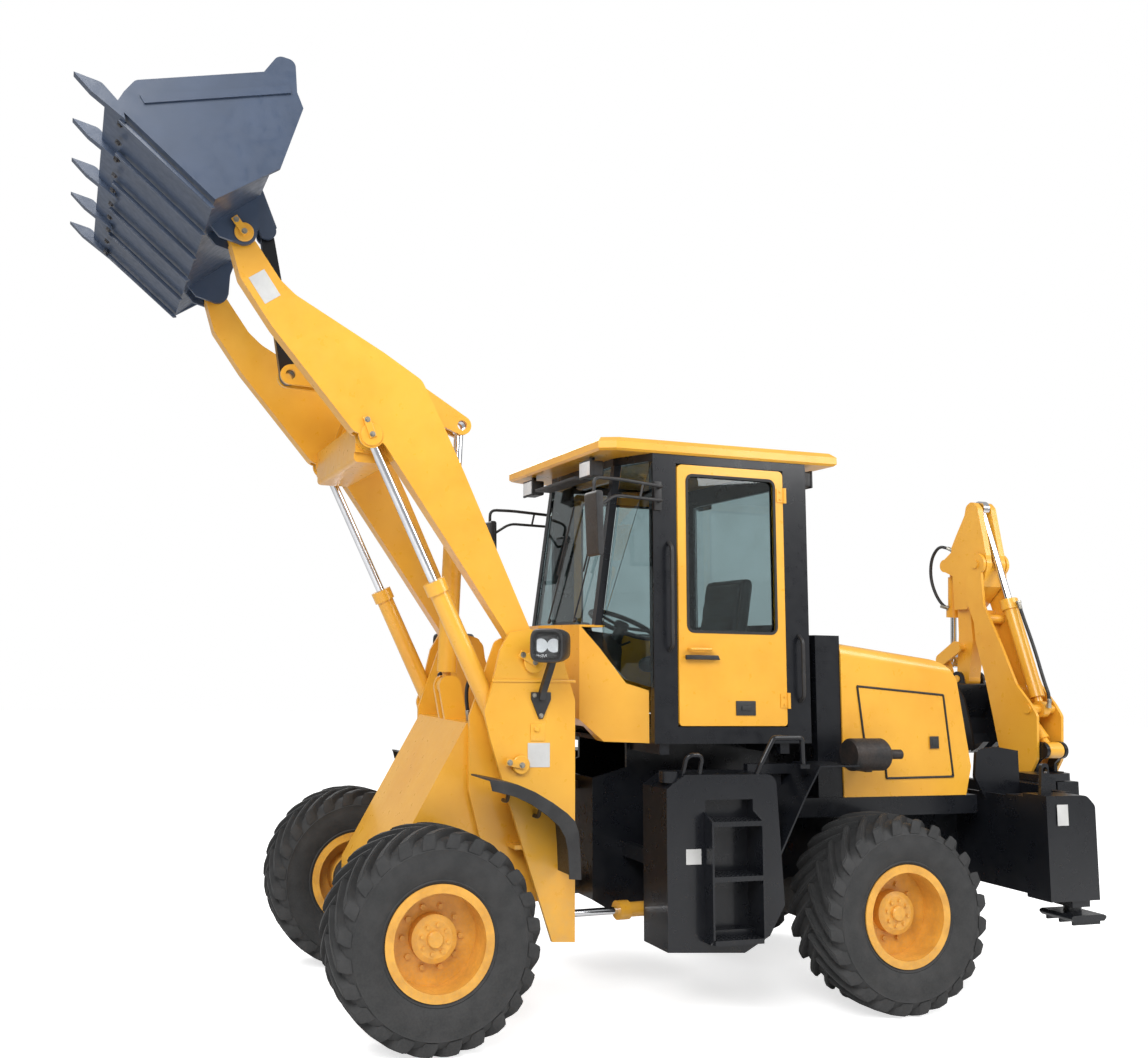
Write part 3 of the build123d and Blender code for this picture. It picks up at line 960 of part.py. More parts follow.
def build():
    """Every piece by its name."""
    parts = {"rear_frame": rear_frame(), "front_frame": front_frame(), "engine_block": engine_block(),
             "rear_axle": axle(0, 320, AXLE_PAD_Z), "front_axle": axle(WHEELBASE, 400, AXLE_PAD_Z),
             "cab_frame": cab_frame(), "cab_cowl": cab_cowl(), "cab_glass": cab_glass(),
             "cab_roof": cab_roof(),
             "cab_interior": cab_interior(), "cab_fittings": cab_fittings(), "hood": hood(),
             "hood_bulkhead": hood_bulkhead(), "muffler": muffler(), "backhoe_frame": backhoe_frame(),
             "front_fenders": front_fenders(), "headlamps": headlamps(), "lift_arms": lift_arms(),
             "bell_crank": bell_crank(), "tilt_link": tilt_link(), "loader_bucket": loader_bucket(),
             "carriage": carriage(), "swing_post": swing_post(), "boom": boom(), "stick": stick(),
             "rocker": rocker(), "bucket_link": bucket_link(), "digging_bucket": digging_bucket()}
    for hand, name in ((1, "left"), (-1, "right")):
        parts[f"tank_{name}"] = tank(hand)
        parts[f"door_{name}"] = door(hand)
        glass = prism(window_outline(SEAT), CAB_HALF - 14, CAB_HALF - 14 + GLASS_T)
        parts[f"door_glass_{name}"] = glass if hand > 0 else mirror(glass, Plane.XZ)
        parts[f"hood_panel_{name}"] = hood_panel(hand)
        parts[f"stabiliser_{name}"] = stabiliser(hand)
        for axle_name, x in (("front", WHEELBASE), ("rear", 0.0)):
            for piece, shape in (("tyre", tyre(x)), ("rim", rim(x))):
                parts[f"{piece}_{axle_name}_{name}"] = shape if hand > 0 else mirror(shape, Plane.XZ)
    cylinders = (
        ("lift", LIFT_BASE, LIFT_PIN, 1090, 52, 26, 940, (ARM_Y, -ARM_Y), "y", EYE_T / 2, PIN_R),
        ("tilt", TILT_BASE, CRANK_TOP, 950, 58, 28, 760, (0.0,), "y", EYE_T / 2, PIN_R),
        ("steer_left", STEER_CYL_BASE, STEER_CYL_EYE, 605, 40, 20, 355, (STEER_CYL_Z,), "z", EYE_T / 2,
         PIN_R),
        ("boom", BOOM_CYL_BASE, BOOM_CYL_PIN, 430, 40, 22, 100, (DIG_X,), "x", POST_HALF - 30, PIN_R),
        ("stick", STICK_CYL_BASE, STICK_CYL_PIN, 760, 45, 24, 734, (DIG_X,), "x", EYE_T / 2, PIN_R),
        ("curl", CURL_BASE, ROCKER_PIN, 372, 36, 20, 352, (DIG_X,), "x", EYE_T / 2, DIG_PIN_R),
    )   # columns: name, base pin, rod pin, barrel length, its radius, rod radius, rod's start, planes,
    #     side, half width of the base eye, radius of the base pin
    for name, base, eye, length, radius, rod_radius, start, planes, side, half, pin_radius in cylinders:
        tubes = [barrel(base, eye, length, radius, rod_radius, p, side, half, pin_radius) for p in planes]
        rods = [ram(base, eye, start, rod_radius, p, side) for p in planes]
        parts[f"{name}_barrel"] = tubes[0] if len(tubes) == 1 else Compound(children=tubes)
        parts[f"{name}_rod"] = rods[0] if len(rods) == 1 else Compound(children=rods)
    for piece in ("barrel", "rod"):
        parts[f"steer_right_{piece}"] = mirror(parts[f"steer_left_{piece}"], Plane.XZ)
    return parts


for node, solid in build().items():
    export_step(Pos(-ORIGIN_X, 0, 0) * solid, f"parts/{node}.step")
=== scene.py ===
import math
import bpy
import bmesh
from mathutils import Matrix, Vector


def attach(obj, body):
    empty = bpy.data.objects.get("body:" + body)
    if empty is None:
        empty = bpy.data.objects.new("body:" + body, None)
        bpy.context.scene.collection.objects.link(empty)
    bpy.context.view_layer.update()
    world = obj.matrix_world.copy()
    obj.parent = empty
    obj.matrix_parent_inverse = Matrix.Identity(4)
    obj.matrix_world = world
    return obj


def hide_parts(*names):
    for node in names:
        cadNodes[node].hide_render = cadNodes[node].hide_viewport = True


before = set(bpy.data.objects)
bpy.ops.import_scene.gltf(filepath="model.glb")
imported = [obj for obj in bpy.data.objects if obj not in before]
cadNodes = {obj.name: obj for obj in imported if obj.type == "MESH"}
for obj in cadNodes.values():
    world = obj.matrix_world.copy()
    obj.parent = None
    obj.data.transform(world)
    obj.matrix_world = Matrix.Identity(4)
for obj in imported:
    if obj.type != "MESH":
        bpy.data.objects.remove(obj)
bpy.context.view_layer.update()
sides = ((1, "left"), (-1, "right"))
rearAxleX = -1.431  # the rear axle in the row's frame, metres


def at(x, y, z):
    # x forward of the rear axle, y to the left, z up, all in millimetres
    return Vector((x / 1000 + rearAxleX, y / 1000, z / 1000))


# finishes: colour and shade are mixed in soft patches, dust gathers below dustTop (metres)
finishLooks = {
    "yellowPaint": dict(colour=(0.82, 0.42, 0.040), shade=(0.76, 0.36, 0.028), patch=2.2, rough=(0.26, 0.40),
                        coat=0.35, grain=(900, 0.025), dust=(0.42, 0.33, 0.22), dustTop=1.2, dustMost=0.35),
    "rimPaint": dict(colour=(0.80, 0.40, 0.05), shade=(0.62, 0.29, 0.035), patch=9, rough=(0.34, 0.55),
                     coat=0.1, grain=(700, 0.05), dust=(0.36, 0.30, 0.22), dustTop=1.5, dustMost=0.28),
    "blackPaint": dict(colour=(0.0065, 0.0075, 0.010), shade=(0.010, 0.011, 0.014), patch=1.6,
                       rough=(0.24, 0.38), coat=0.25, specular=0.3, grain=(800, 0.03),
                       dust=(0.10, 0.10, 0.10), dustTop=1.0, dustMost=0.07),
    "bucketPaint": dict(colour=(0.042, 0.064, 0.112), shade=(0.034, 0.052, 0.090), patch=2.5,
                        rough=(0.30, 0.50), coat=0.2, grain=(600, 0.06), dust=None),
    "wornSteel": dict(colour=(0.16, 0.16, 0.17), shade=(0.07, 0.065, 0.06), patch=14, rough=(0.32, 0.6),
                      metal=0.9, grain=(400, 0.12), dust=None),
    "zincBolt": dict(colour=(0.46, 0.44, 0.38), shade=(0.30, 0.28, 0.24), patch=40, rough=(0.3, 0.5),
                     metal=0.9, grain=(900, 0.05), dust=None),
    "brightRod": dict(colour=(0.80, 0.81, 0.83), shade=(0.70, 0.71, 0.74), patch=6, rough=(0.07, 0.16),
                      metal=1.0, grain=(1500, 0.01), dust=None),
    "tyreRubber": dict(colour=(0.017, 0.018, 0.019), shade=(0.030, 0.030, 0.031), patch=11,
                       rough=(0.62, 0.85), grain=(260, 0.18), dust=(0.075, 0.074, 0.072), dustTop=2.4,
                       dustMost=0.45),
    "hoseRubber": dict(colour=(0.012, 0.012, 0.013), shade=(0.022, 0.022, 0.022), patch=30, rough=(0.42, 0.6),
                       grain=(700, 0.10), dust=None),
    "castIron": dict(colour=(0.030, 0.030, 0.032), shade=(0.055, 0.050, 0.046), patch=8, rough=(0.5, 0.75),
                     grain=(220, 0.22), dust=(0.17, 0.15, 0.12), dustTop=1.4, dustMost=0.4),
    "burntSteel": dict(colour=(0.022, 0.021, 0.021), shade=(0.050, 0.036, 0.030), patch=9, rough=(0.45, 0.75),
                       metal=0.35, grain=(300, 0.14), dust=None),
    "blackPlastic": dict(colour=(0.016, 0.016, 0.017), shade=(0.028, 0.028, 0.029), patch=12,
                         rough=(0.38, 0.55), grain=(1200, 0.10), dust=None),
    "cabTrim": dict(colour=(0.026, 0.026, 0.028), shade=(0.040, 0.040, 0.042), patch=7, rough=(0.6, 0.8),
                    grain=(1400, 0.14), dust=None),
    "sealRubber": dict(colour=(0.010, 0.010, 0.011), shade=(0.018, 0.018, 0.018), patch=20, rough=(0.55, 0.7),
                       grain=(900, 0.06), dust=None),
    "palePlate": dict(colour=(0.60, 0.60, 0.59), shade=(0.52, 0.52, 0.51), patch=8, rough=(0.35, 0.5),
                      grain=(900, 0.02), dust=None),
    "redPaint": dict(colour=(0.42, 0.035, 0.03), shade=(0.30, 0.02, 0.02), patch=12, rough=(0.35, 0.5),
                     grain=(700, 0.05), dust=None),
    "lampReflector": dict(colour=(0.88, 0.89, 0.90), shade=(0.78, 0.80, 0.82), patch=30, rough=(0.08, 0.2),
                          metal=0.4, grain=(140, 0.25), dust=None),
    "mirrorFace": dict(colour=(0.82, 0.84, 0.86), shade=(0.78, 0.80, 0.83), patch=3, rough=(0.02, 0.05),
                       metal=1.0, grain=(60, 0.004), dust=None),
}
finishes = {}


def add(tree, kind, inputs=None, **settings):
    made = tree.nodes.new(kind)
    for name, value in settings.items():
        setattr(made, name, value)
    for name, value in (inputs or {}).items():
        if isinstance(value, bpy.types.NodeSocket):
            tree.links.new(value, made.inputs[name])
        else:
            made.inputs[name].default_value = value
    return made


def mixed(tree, factor, first, second):
    made = add(tree, "ShaderNodeMix", {0: factor}, data_type="RGBA")
    for socket, value in ((made.inputs[6], first), (made.inputs[7], second)):
        if isinstance(value, bpy.types.NodeSocket):
            tree.links.new(value, socket)
        else:
            socket.default_value = (*value, 1)
    return made.outputs[2]


def ranged(tree, value, low, high, toLow=0.0, toHigh=1.0):
    return add(tree, "ShaderNodeMapRange", {"Value": value, "From Min": low, "From Max": high,
                                            "To Min": toLow, "To Max": toHigh}).outputs["Result"]


def makeFinish(name, look):
    material = bpy.data.materials.new(name)
    material.use_nodes = True
    tree = material.node_tree
    shader = tree.nodes["Principled BSDF"]
    spot = add(tree, "ShaderNodeTexCoord").outputs["Object"]
    patches = add(tree, "ShaderNodeTexNoise", {"Vector": spot, "Scale": look["patch"], "Detail": 5,
                                               "Roughness": 0.62})
    fine = add(tree, "ShaderNodeTexNoise", {"Vector": spot, "Scale": look["patch"] * 9, "Detail": 4})
    colour = mixed(tree, ranged(tree, patches.outputs["Fac"], 0.38, 0.66), look["colour"], look["shade"])
    if look["dust"]:
        height = add(tree, "ShaderNodeSeparateXYZ", {"Vector": spot}).outputs["Z"]
        low = ranged(tree, height, look["dustTop"], 0.0, 0.0, look["dustMost"])
        cover = add(tree, "ShaderNodeMath", {0: low, 1: ranged(tree, fine.outputs["Fac"], 0.35, 0.75)},
                    operation="MULTIPLY").outputs[0]
        colour = mixed(tree, cover, colour, look["dust"])
    tree.links.new(colour, shader.inputs["Base Color"])
    rough = ranged(tree, fine.outputs["Fac"], 0.3, 0.7, *look["rough"])
    tree.links.new(rough, shader.inputs["Roughness"])
    shader.inputs["Metallic"].default_value = look.get("metal", 0.0)
    shader.inputs["Coat Weight"].default_value = look.get("coat", 0.0)
    shader.inputs["Coat Roughness"].default_value = 0.12
    shader.inputs["Specular IOR Level"].default_value = look.get("specular", 0.5)
    scale, strength = look["grain"]
    grain = add(tree, "ShaderNodeTexNoise", {"Vector": spot, "Scale": scale, "Detail": 2}).outputs["Fac"]
    bump = add(tree, "ShaderNodeBump", {"Height": grain, "Strength": strength, "Distance": 0.002})
    tree.links.new(bump.outputs["Normal"], shader.inputs["Normal"])
    finishes[name] = material


def makeGlass(name, tint, rough):
    material = bpy.data.materials.new(name)
    material.use_nodes = True
    tree = material.node_tree
    shader = tree.nodes["Principled BSDF"]
    spot = add(tree, "ShaderNodeTexCoord").outputs["Object"]
    haze = add(tree, "ShaderNodeTexNoise", {"Vector": spot, "Scale": 3.5, "Detail": 6}).outputs["Fac"]
    tree.links.new(mixed(tree, ranged(tree, haze, 0.4, 0.7), tint, tuple(c * 0.92 for c in tint)),
                   shader.inputs["Base Color"])
    tree.links.new(ranged(tree, haze, 0.4, 0.8, *rough), shader.inputs["Roughness"])
    shader.inputs["Transmission Weight"].default_value = 1.0
    shader.inputs["IOR"].default_value = 1.45
    finishes[name] = material


def makeFabric(name, colour, shade):
    material = bpy.data.materials.new(name)
    material.use_nodes = True
    tree = material.node_tree
    shader = tree.nodes["Principled BSDF"]
    spot = add(tree, "ShaderNodeTexCoord").outputs["Object"]
    thread = {"Vector": spot, "Scale": 260, "Distortion": 0.6}
    across = add(tree, "ShaderNodeTexWave", thread, bands_direction="X").outputs["Fac"]
    along = add(tree, "ShaderNodeTexWave", thread, bands_direction="Y").outputs["Fac"]
    weave = add(tree, "ShaderNodeMath", {0: across, 1: along}, operation="MULTIPLY")
    tree.links.new(mixed(tree, weave.outputs[0], colour, shade), shader.inputs["Base Color"])
    bump = add(tree, "ShaderNodeBump", {"Height": weave.outputs[0], "Strength": 0.3, "Distance": 0.001})
    tree.links.new(bump.outputs["Normal"], shader.inputs["Normal"])
    shader.inputs["Roughness"].default_value = 0.85
    shader.inputs["Sheen Weight"].default_value = 0.25
    finishes[name] = material


for finishName, finishLook in finishLooks.items():
    makeFinish(finishName, finishLook)
makeGlass("cabGlass", (0.46, 0.55, 0.56), (0.0, 0.04))
makeGlass("lampGlass", (0.95, 0.97, 0.98), (0.01, 0.06))
makeFabric("seatFabric", (0.030, 0.031, 0.034), (0.065, 0.066, 0.07))
print("finishes", len(finishes))

cadFinish = {
    "rim": "rimPaint", "cab_glass": "cabGlass", "door_glass": "cabGlass", "loader_bucket": "bucketPaint",
    "digging_bucket": "blackPaint", "muffler": "burntSteel", "engine": "castIron", "rear_axle": "castIron",
    "front_axle": "castIron", "tank": "blackPaint", "rear_frame": "blackPaint", "backhoe_frame": "blackPaint",
    "cab_frame": "blackPaint", "hood_bulkhead": "blackPaint", "front_fenders": "blackPaint",
    "carriage": "blackPaint", "swing_post": "blackPaint", "stabiliser": "blackPaint", "tyre": "tyreRubber",
    "cab_interior": "cabTrim", "cab_fittings": "blackPlastic", "headlamps": "blackPlastic",
    "tilt_link": "blackPaint",
}
for nodeName, node in cadNodes.items():
    chosen = "brightRod" if nodeName.endswith("_rod") else "yellowPaint"
    for start, finishName in cadFinish.items():
        if nodeName.startswith(start):
            chosen = finishName
    if not node.material_slots:
        node.data.materials.append(finishes[chosen])
    for materialSlot in node.material_slots:
        materialSlot.material = finishes[chosen]


def finishPiece(name, bm, finishName, body, replaced=(), sharp=35):
    # a bmesh made into a piece that rides on a body
    bmesh.ops.recalc_face_normals(bm, faces=bm.faces)
    mesh = bpy.data.meshes.new(name)
    bm.to_mesh(mesh)
    bm.free()
    return meshPiece(name, mesh, finishName, body, replaced, sharp)


def meshPiece(name, mesh, finishName, body, replaced=(), sharp=35):
    mesh.materials.clear()
    mesh.materials.append(finishes[finishName])
    mesh.polygons.foreach_set("use_smooth", [True] * len(mesh.polygons))
    mesh.polygons.foreach_set("material_index", [0] * len(mesh.polygons))
    mesh.set_sharp_from_angle(angle=math.radians(sharp))
    piece = bpy.data.objects.new(name, mesh)
    bpy.context.scene.collection.objects.link(piece)
    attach(piece, body)
    if replaced:
        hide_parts(*replaced)
    return piece


def spotOn(a, b, level, side):
    # side y holds (x, z), side x holds (y, z) and side z holds (x, y)
    return at(*{"y": (a, level, b), "x": (level, a, b), "z": (a, b, level)}[side])


def addPlate(bm, corners, side, low, high, bevel=0.0, steps=2):
    # a closed plate from a flat outline, with its edges eased
    new = bmesh.new()
    bottom = [new.verts.new(spotOn(a, b, low, side)) for a, b in corners]
    top = [new.verts.new(spotOn(a, b, high, side)) for a, b in corners]
    new.faces.new(bottom)
    new.faces.new(top[::-1])
    for i in range(len(corners)):
        j = (i + 1) % len(corners)
        new.faces.new((bottom[i], top[i], top[j], bottom[j]))
    bmesh.ops.recalc_face_normals(new, faces=new.faces)
    if bevel:
        bmesh.ops.bevel(new, geom=new.edges, offset=bevel / 1000, segments=steps, profile=0.6, affect="EDGES",
                        clamp_overlap=True)
    joinInto(bm, new)


def joinInto(bm, new):
    mesh = bpy.data.meshes.new("part")
    new.to_mesh(mesh)
    new.free()
    bm.from_mesh(mesh)
    bpy.data.meshes.remove(mesh)


def addBlock(bm, x, y, z, bevel=3.0, steps=2):
    addPlate(bm, [(x[0], z[0]), (x[1], z[0]), (x[1], z[1]), (x[0], z[1])], "y", y[0], y[1], bevel, steps)


def addTurned(bm, start, end, profile, sides=32):
    # a turned body on the line from start to end; profile rows are (share of the length, radius in mm)
    a, b = at(*start), at(*end)
    line = b - a
    u = line.orthogonal().normalized()
    v = line.normalized().cross(u)
    rings = []
    for share, radius in profile:
        rings.append([bm.verts.new(a + line * share + (u * math.cos(t) + v * math.sin(t)) * (radius / 1000))
                      for t in (2 * math.pi * i / sides for i in range(sides))])
    for first, second in zip(rings, rings[1:]):
        for i in range(sides):
            j = (i + 1) % sides
            bm.faces.new((first[i], first[j], second[j], second[i]))
    bm.faces.new(rings[0][::-1])
    bm.faces.new(rings[-1])


def addTube(bm, points, radius, sides=12, bend=30.0, steps=5):
    # a bent bar: straight runs joined by arcs of the bend's radius
    spots = [at(*p) for p in points]
    path = [spots[0]]
    for before, corner, after in zip(spots, spots[1:], spots[2:]):
        u, v = (before - corner), (after - corner)
        reach = min(bend / 1000, u.length * 0.45, v.length * 0.45)
        first, last = corner + u.normalized() * reach, corner + v.normalized() * reach
        for i in range(steps + 1):
            t = i / steps
            path.append(first * (1 - t) ** 2 + corner * 2 * t * (1 - t) + last * t ** 2)
    path.append(spots[-1])
    rings = []
    side = (path[1] - path[0]).orthogonal().normalized()
    for i, p in enumerate(path):
        run = (path[min(i + 1, len(path) - 1)] - path[max(i - 1, 0)]).normalized()
        side = (side - run * side.dot(run)).normalized()
        other = run.cross(side)
        rings.append([bm.verts.new(p + (side * math.cos(t) + other * math.sin(t)) * (radius / 1000))
                      for t in (2 * math.pi * k / sides for k in range(sides))])
    for first, second in zip(rings, rings[1:]):
        for k in range(sides):
            bm.faces.new((first[k], first[(k + 1) % sides], second[(k + 1) % sides], second[k]))
    bm.faces.new(rings[0][::-1])
    bm.faces.new(rings[-1])


def mirrored(bm):
    # the same shape on the machine's other side as well
    copy = bmesh.ops.duplicate(bm, geom=bm.verts[:] + bm.edges[:] + bm.faces[:])
    verts = [g for g in copy["geom"] if isinstance(g, bmesh.types.BMVert)]
    for v in verts:
        v.co.y = -v.co.y
    bmesh.ops.reverse_faces(bm, faces=[g for g in copy["geom"] if isinstance(g, bmesh.types.BMFace)])


# trees of Geometry Nodes for what repeats
def startTree(name, sockets):
    tree = bpy.data.node_groups.new(name, "GeometryNodeTree")
    tree.interface.new_socket("Geometry", in_out="INPUT", socket_type="NodeSocketGeometry")
    for label, kind in sockets.items():
        tree.interface.new_socket(label, in_out="INPUT", socket_type="NodeSocket" + kind)
    tree.interface.new_socket("Geometry", in_out="OUTPUT", socket_type="NodeSocketGeometry")
    return tree, tree.nodes.new("NodeGroupInput"), tree.nodes.new("NodeGroupOutput")


def endTree(tree, source, result, last):
    real = add(tree, "GeometryNodeRealizeInstances", {"Geometry": last})
    painted = add(tree, "GeometryNodeSetMaterial", {"Geometry": real.outputs[0],
                                                    "Material": source.outputs["Material"]})
    tree.links.new(painted.outputs[0], result.inputs[0])


def runTree(name, tree, base, values, finishName, body, replaced=(), sharp=35):
    # the tree's result on a base mesh, as a plain mesh piece
    carrier = bpy.data.objects.new("carrier", base)
    bpy.context.scene.collection.objects.link(carrier)
    modifier = carrier.modifiers.new("shape", "NODES")
    modifier.node_group = tree
    for item in tree.interface.items_tree:
        if item.in_out == "INPUT" and item.name in values:
            modifier[item.identifier] = values[item.name]
        if item.in_out == "INPUT" and item.name == "Material":
            modifier[item.identifier] = finishes[finishName]
    bpy.context.view_layer.update()
    evaluated = carrier.evaluated_get(bpy.context.evaluated_depsgraph_get())
    mesh = bpy.data.meshes.new_from_object(evaluated)
    mesh.name = name
    bpy.data.objects.remove(carrier)
    return meshPiece(name, mesh, finishName, body, replaced, sharp)


boltTree, source, result = startTree("boltHeads", {"Head Radius": "Float", "Head Height": "Float",
                                                   "Washer Radius": "Float", "Material": "Material"})
head = add(boltTree, "GeometryNodeMeshCylinder", {"Vertices": 6, "Radius": source.outputs["Head Radius"],
                                                  "Depth": source.outputs["Head Height"]})
washer = add(boltTree, "GeometryNodeMeshCylinder", {"Vertices": 16, "Radius": source.outputs["Washer Radius"],
                                                    "Depth": 0.003})
lift = add(boltTree, "ShaderNodeCombineXYZ", {"Z": add(boltTree, "ShaderNodeMath", {
    0: source.outputs["Head Height"], 1: 0.5}, operation="MULTIPLY").outputs[0]})
raised = add(boltTree, "GeometryNodeTransform", {"Geometry": head.outputs["Mesh"],
                                                 "Translation": lift.outputs[0]})
bolt = add(boltTree, "GeometryNodeJoinGeometry")
boltTree.links.new(raised.outputs[0], bolt.inputs[0])
boltTree.links.new(washer.outputs["Mesh"], bolt.inputs[0])
aim = add(boltTree, "GeometryNodeInputNamedAttribute", {"Name": "aim"}, data_type="FLOAT_VECTOR")
turn = add(boltTree, "FunctionNodeAlignRotationToVector", {"Vector": aim.outputs["Attribute"]}, axis="Z")
placed = add(boltTree, "GeometryNodeInstanceOnPoints", {
    "Points": source.outputs[0], "Instance": bolt.outputs[0], "Rotation": turn.outputs[0]})
endTree(boltTree, source, result, placed.outputs[0])


def boltSet(name, spots, body, radius=12, finishName="zincBolt"):
    # hex heads with washers; each spot is a point in millimetres and the way the head faces
    base = bpy.data.meshes.new(name)
    base.from_pydata([at(*point) for point, _ in spots], [], [])
    aims = base.attributes.new("aim", "FLOAT_VECTOR", "POINT")
    aims.data.foreach_set("vector", [c for _, way in spots for c in way])
    sizes = {"Head Radius": radius / 1000, "Head Height": radius * 0.9 / 1000,
             "Washer Radius": radius * 1.45 / 1000}
    return runTree(name, boltTree, base, sizes, finishName, body)


def circleSpots(x, y, z, radius, count, way, turn=0.0):
    # points round a circle that faces along y
    return [((x + radius * math.cos(t), y, z + radius * math.sin(t)), way)
            for t in (turn + 2 * math.pi * i / count for i in range(count))]


# tyres: a turned carcass with two rings of slanted lugs; slant is in degrees for each millimetre across
tyreSizes = {"lugs": 24, "slant": 0.126}
wheelPlace = {"track": 825, "axleHeight": 537.5, "axles": (("rear", 0.0), ("front", 2737.0))}
treadTree, source, result = startTree("lugRings", {"Count": "Int", "Lug": "Object", "Other Lug": "Object",
                                                   "Half Pitch": "Float", "Material": "Material"})
wholeTurn = 2 * math.pi
rings = add(treadTree, "GeometryNodeJoinGeometry")
for label, offset in (("Lug", 0.0), ("Other Lug", 1.0)):
    lug = add(treadTree, "GeometryNodeObjectInfo", {"Object": source.outputs[label]},
              transform_space="ORIGINAL")
    spread = add(treadTree, "GeometryNodeMeshLine", {"Count": source.outputs["Count"], "Offset": (0, 0, 0)})
    index = add(treadTree, "GeometryNodeInputIndex")
    angle = add(treadTree, "ShaderNodeMath", {0: index.outputs[0], 1: add(treadTree, "ShaderNodeMath", {
        0: wholeTurn, 1: source.outputs["Count"]}, operation="DIVIDE").outputs[0]}, operation="MULTIPLY")
    shifted = add(treadTree, "ShaderNodeMath", {0: angle.outputs[0], 1: add(treadTree, "ShaderNodeMath", {
        0: source.outputs["Half Pitch"], 1: offset}, operation="MULTIPLY").outputs[0]}, operation="ADD")
    about = add(treadTree, "FunctionNodeEulerToRotation", {0: add(treadTree, "ShaderNodeCombineXYZ", {
        "Y": shifted.outputs[0]}).outputs[0]})
    copies = add(treadTree, "GeometryNodeInstanceOnPoints", {
        "Points": spread.outputs[0], "Instance": lug.outputs["Geometry"], "Rotation": about.outputs[0]})
    treadTree.links.new(copies.outputs[0], rings.inputs[0])
treadTree.links.new(source.outputs[0], rings.inputs[0])
endTree(treadTree, source, result, rings.outputs[0])


def lugObject(name, hand):
    # one lug about the axle's own line: rows are offset, top radius, bottom radius, width
    rows = [(-16, 536.5, 492, 30), (30, 536.8, 492, 36), (95, 535.5, 490, 42), (150, 532, 486, 50),
            (182, 526, 474, 58), (197, 486, 452, 60)]
    bm = bmesh.new()
    sections = []
    for offset, top, bottom, width in rows:
        middle = math.radians(tyreSizes["slant"] * offset)
        corners = []
        for radius, grow in ((bottom, 7), (top, 0)):
            for sign in (-1, 1):
                t = middle + sign * (width / 2 + grow) / radius
                spot = Vector((math.sin(t) * radius, hand * offset, math.cos(t) * radius))
                corners.append(bm.verts.new(spot / 1000))
        sections.append([corners[0], corners[1], corners[3], corners[2]])
    for first, second in zip(sections, sections[1:]):
        for i in range(4):
            bm.faces.new((first[i], first[(i + 1) % 4], second[(i + 1) % 4], second[i]))
    bm.faces.new(sections[0][::-1])
    bm.faces.new(sections[-1])
    bmesh.ops.recalc_face_normals(bm, faces=bm.faces)
    bmesh.ops.bevel(bm, geom=[e for e in bm.edges if e.calc_face_angle(0) > 0.6], offset=0.005, segments=2,
                    affect="EDGES", clamp_overlap=True)
    mesh = bpy.data.meshes.new(name)
    bm.to_mesh(mesh)
    bm.free()
    lug = bpy.data.objects.new(name, mesh)
    bpy.context.scene.collection.objects.link(lug)
    return lug


def carcassMesh():
    # the carcass about the axle's own line, its sidewalls ringed with low ribs: rows are radius, offset
    half = [(257, 150), (266, 163), (290, 170), (296, 176), (302, 173), (330, 187), (372, 197), (410, 199.5),
            (442, 196), (448, 198.5), (454, 193.5), (480, 180), (497, 150), (501, 80), (502, 0)]
    section = [(r, -o) for r, o in half] + [(r, o) for r, o in reversed(half[:-1])]
    bm = bmesh.new()
    count = 96
    rings = []
    for i in range(count):
        t = 2 * math.pi * i / count
        rings.append([bm.verts.new(Vector((math.sin(t) * r, o, math.cos(t) * r)) / 1000) for r, o in section])
    for i in range(count):
        first, second = rings[i], rings[(i + 1) % count]
        for k in range(len(section)):
            j = (k + 1) % len(section)
            bm.faces.new((first[k], first[j], second[j], second[k]))
    bmesh.ops.recalc_face_normals(bm, faces=bm.faces)
    mesh = bpy.data.meshes.new("carcass")
    bm.to_mesh(mesh)
    bm.free()
    return mesh


lugs = lugObject("lugOut", 1), lugObject("lugIn", -1)
track, axleHeight = wheelPlace["track"], wheelPlace["axleHeight"]
for axleName, wheelX in wheelPlace["axles"]:
    for hand, sideName in sides:
        body = f"wheel_{axleName}_{sideName}"
        tyre = runTree(f"tyre.{axleName}.{sideName}", treadTree, carcassMesh(),
                       {"Count": tyreSizes["lugs"], "Lug": lugs[0], "Other Lug": lugs[1],
                        "Half Pitch": math.pi / tyreSizes["lugs"]}, "tyreRubber", body,
                       (f"tyre_{axleName}_{sideName}",), 40)
        tyre.data.transform(Matrix.Translation(at(wheelX, hand * track, axleHeight)))
        way = (0, hand, 0)
        for rowName, out, radius, count, turnBy, headRadius in (("wheelNuts", 18, 152, 10, 0.0, 15),
                                                                ("hubBolts", 84, 70, 8, 0.2, 10)):
            spots = circleSpots(wheelX, hand * (track + out), axleHeight, radius, count, way, turnBy)
            boltSet(f"{rowName}.{axleName}.{sideName}", spots, body, headRadius, "rimPaint")
        bm = bmesh.new()
        capEnds = [(wheelX, hand * (track + out), axleHeight) for out in (83, 103)]
        addTurned(bm, *capEnds, [(0, 42), (0.7, 42), (1, 36)], 32)
        finishPiece(f"hubCap.{axleName}.{sideName}", bm, "rimPaint", body)
for lug in lugs:
    bpy.data.objects.remove(lug)
print("wheels done")

# operator's seat, wheel and dash, which stand for the plain ones in the CAD
seatLook = {"crown": 26, "channels": 4, "grooveDepth": 9, "cuts": 23}


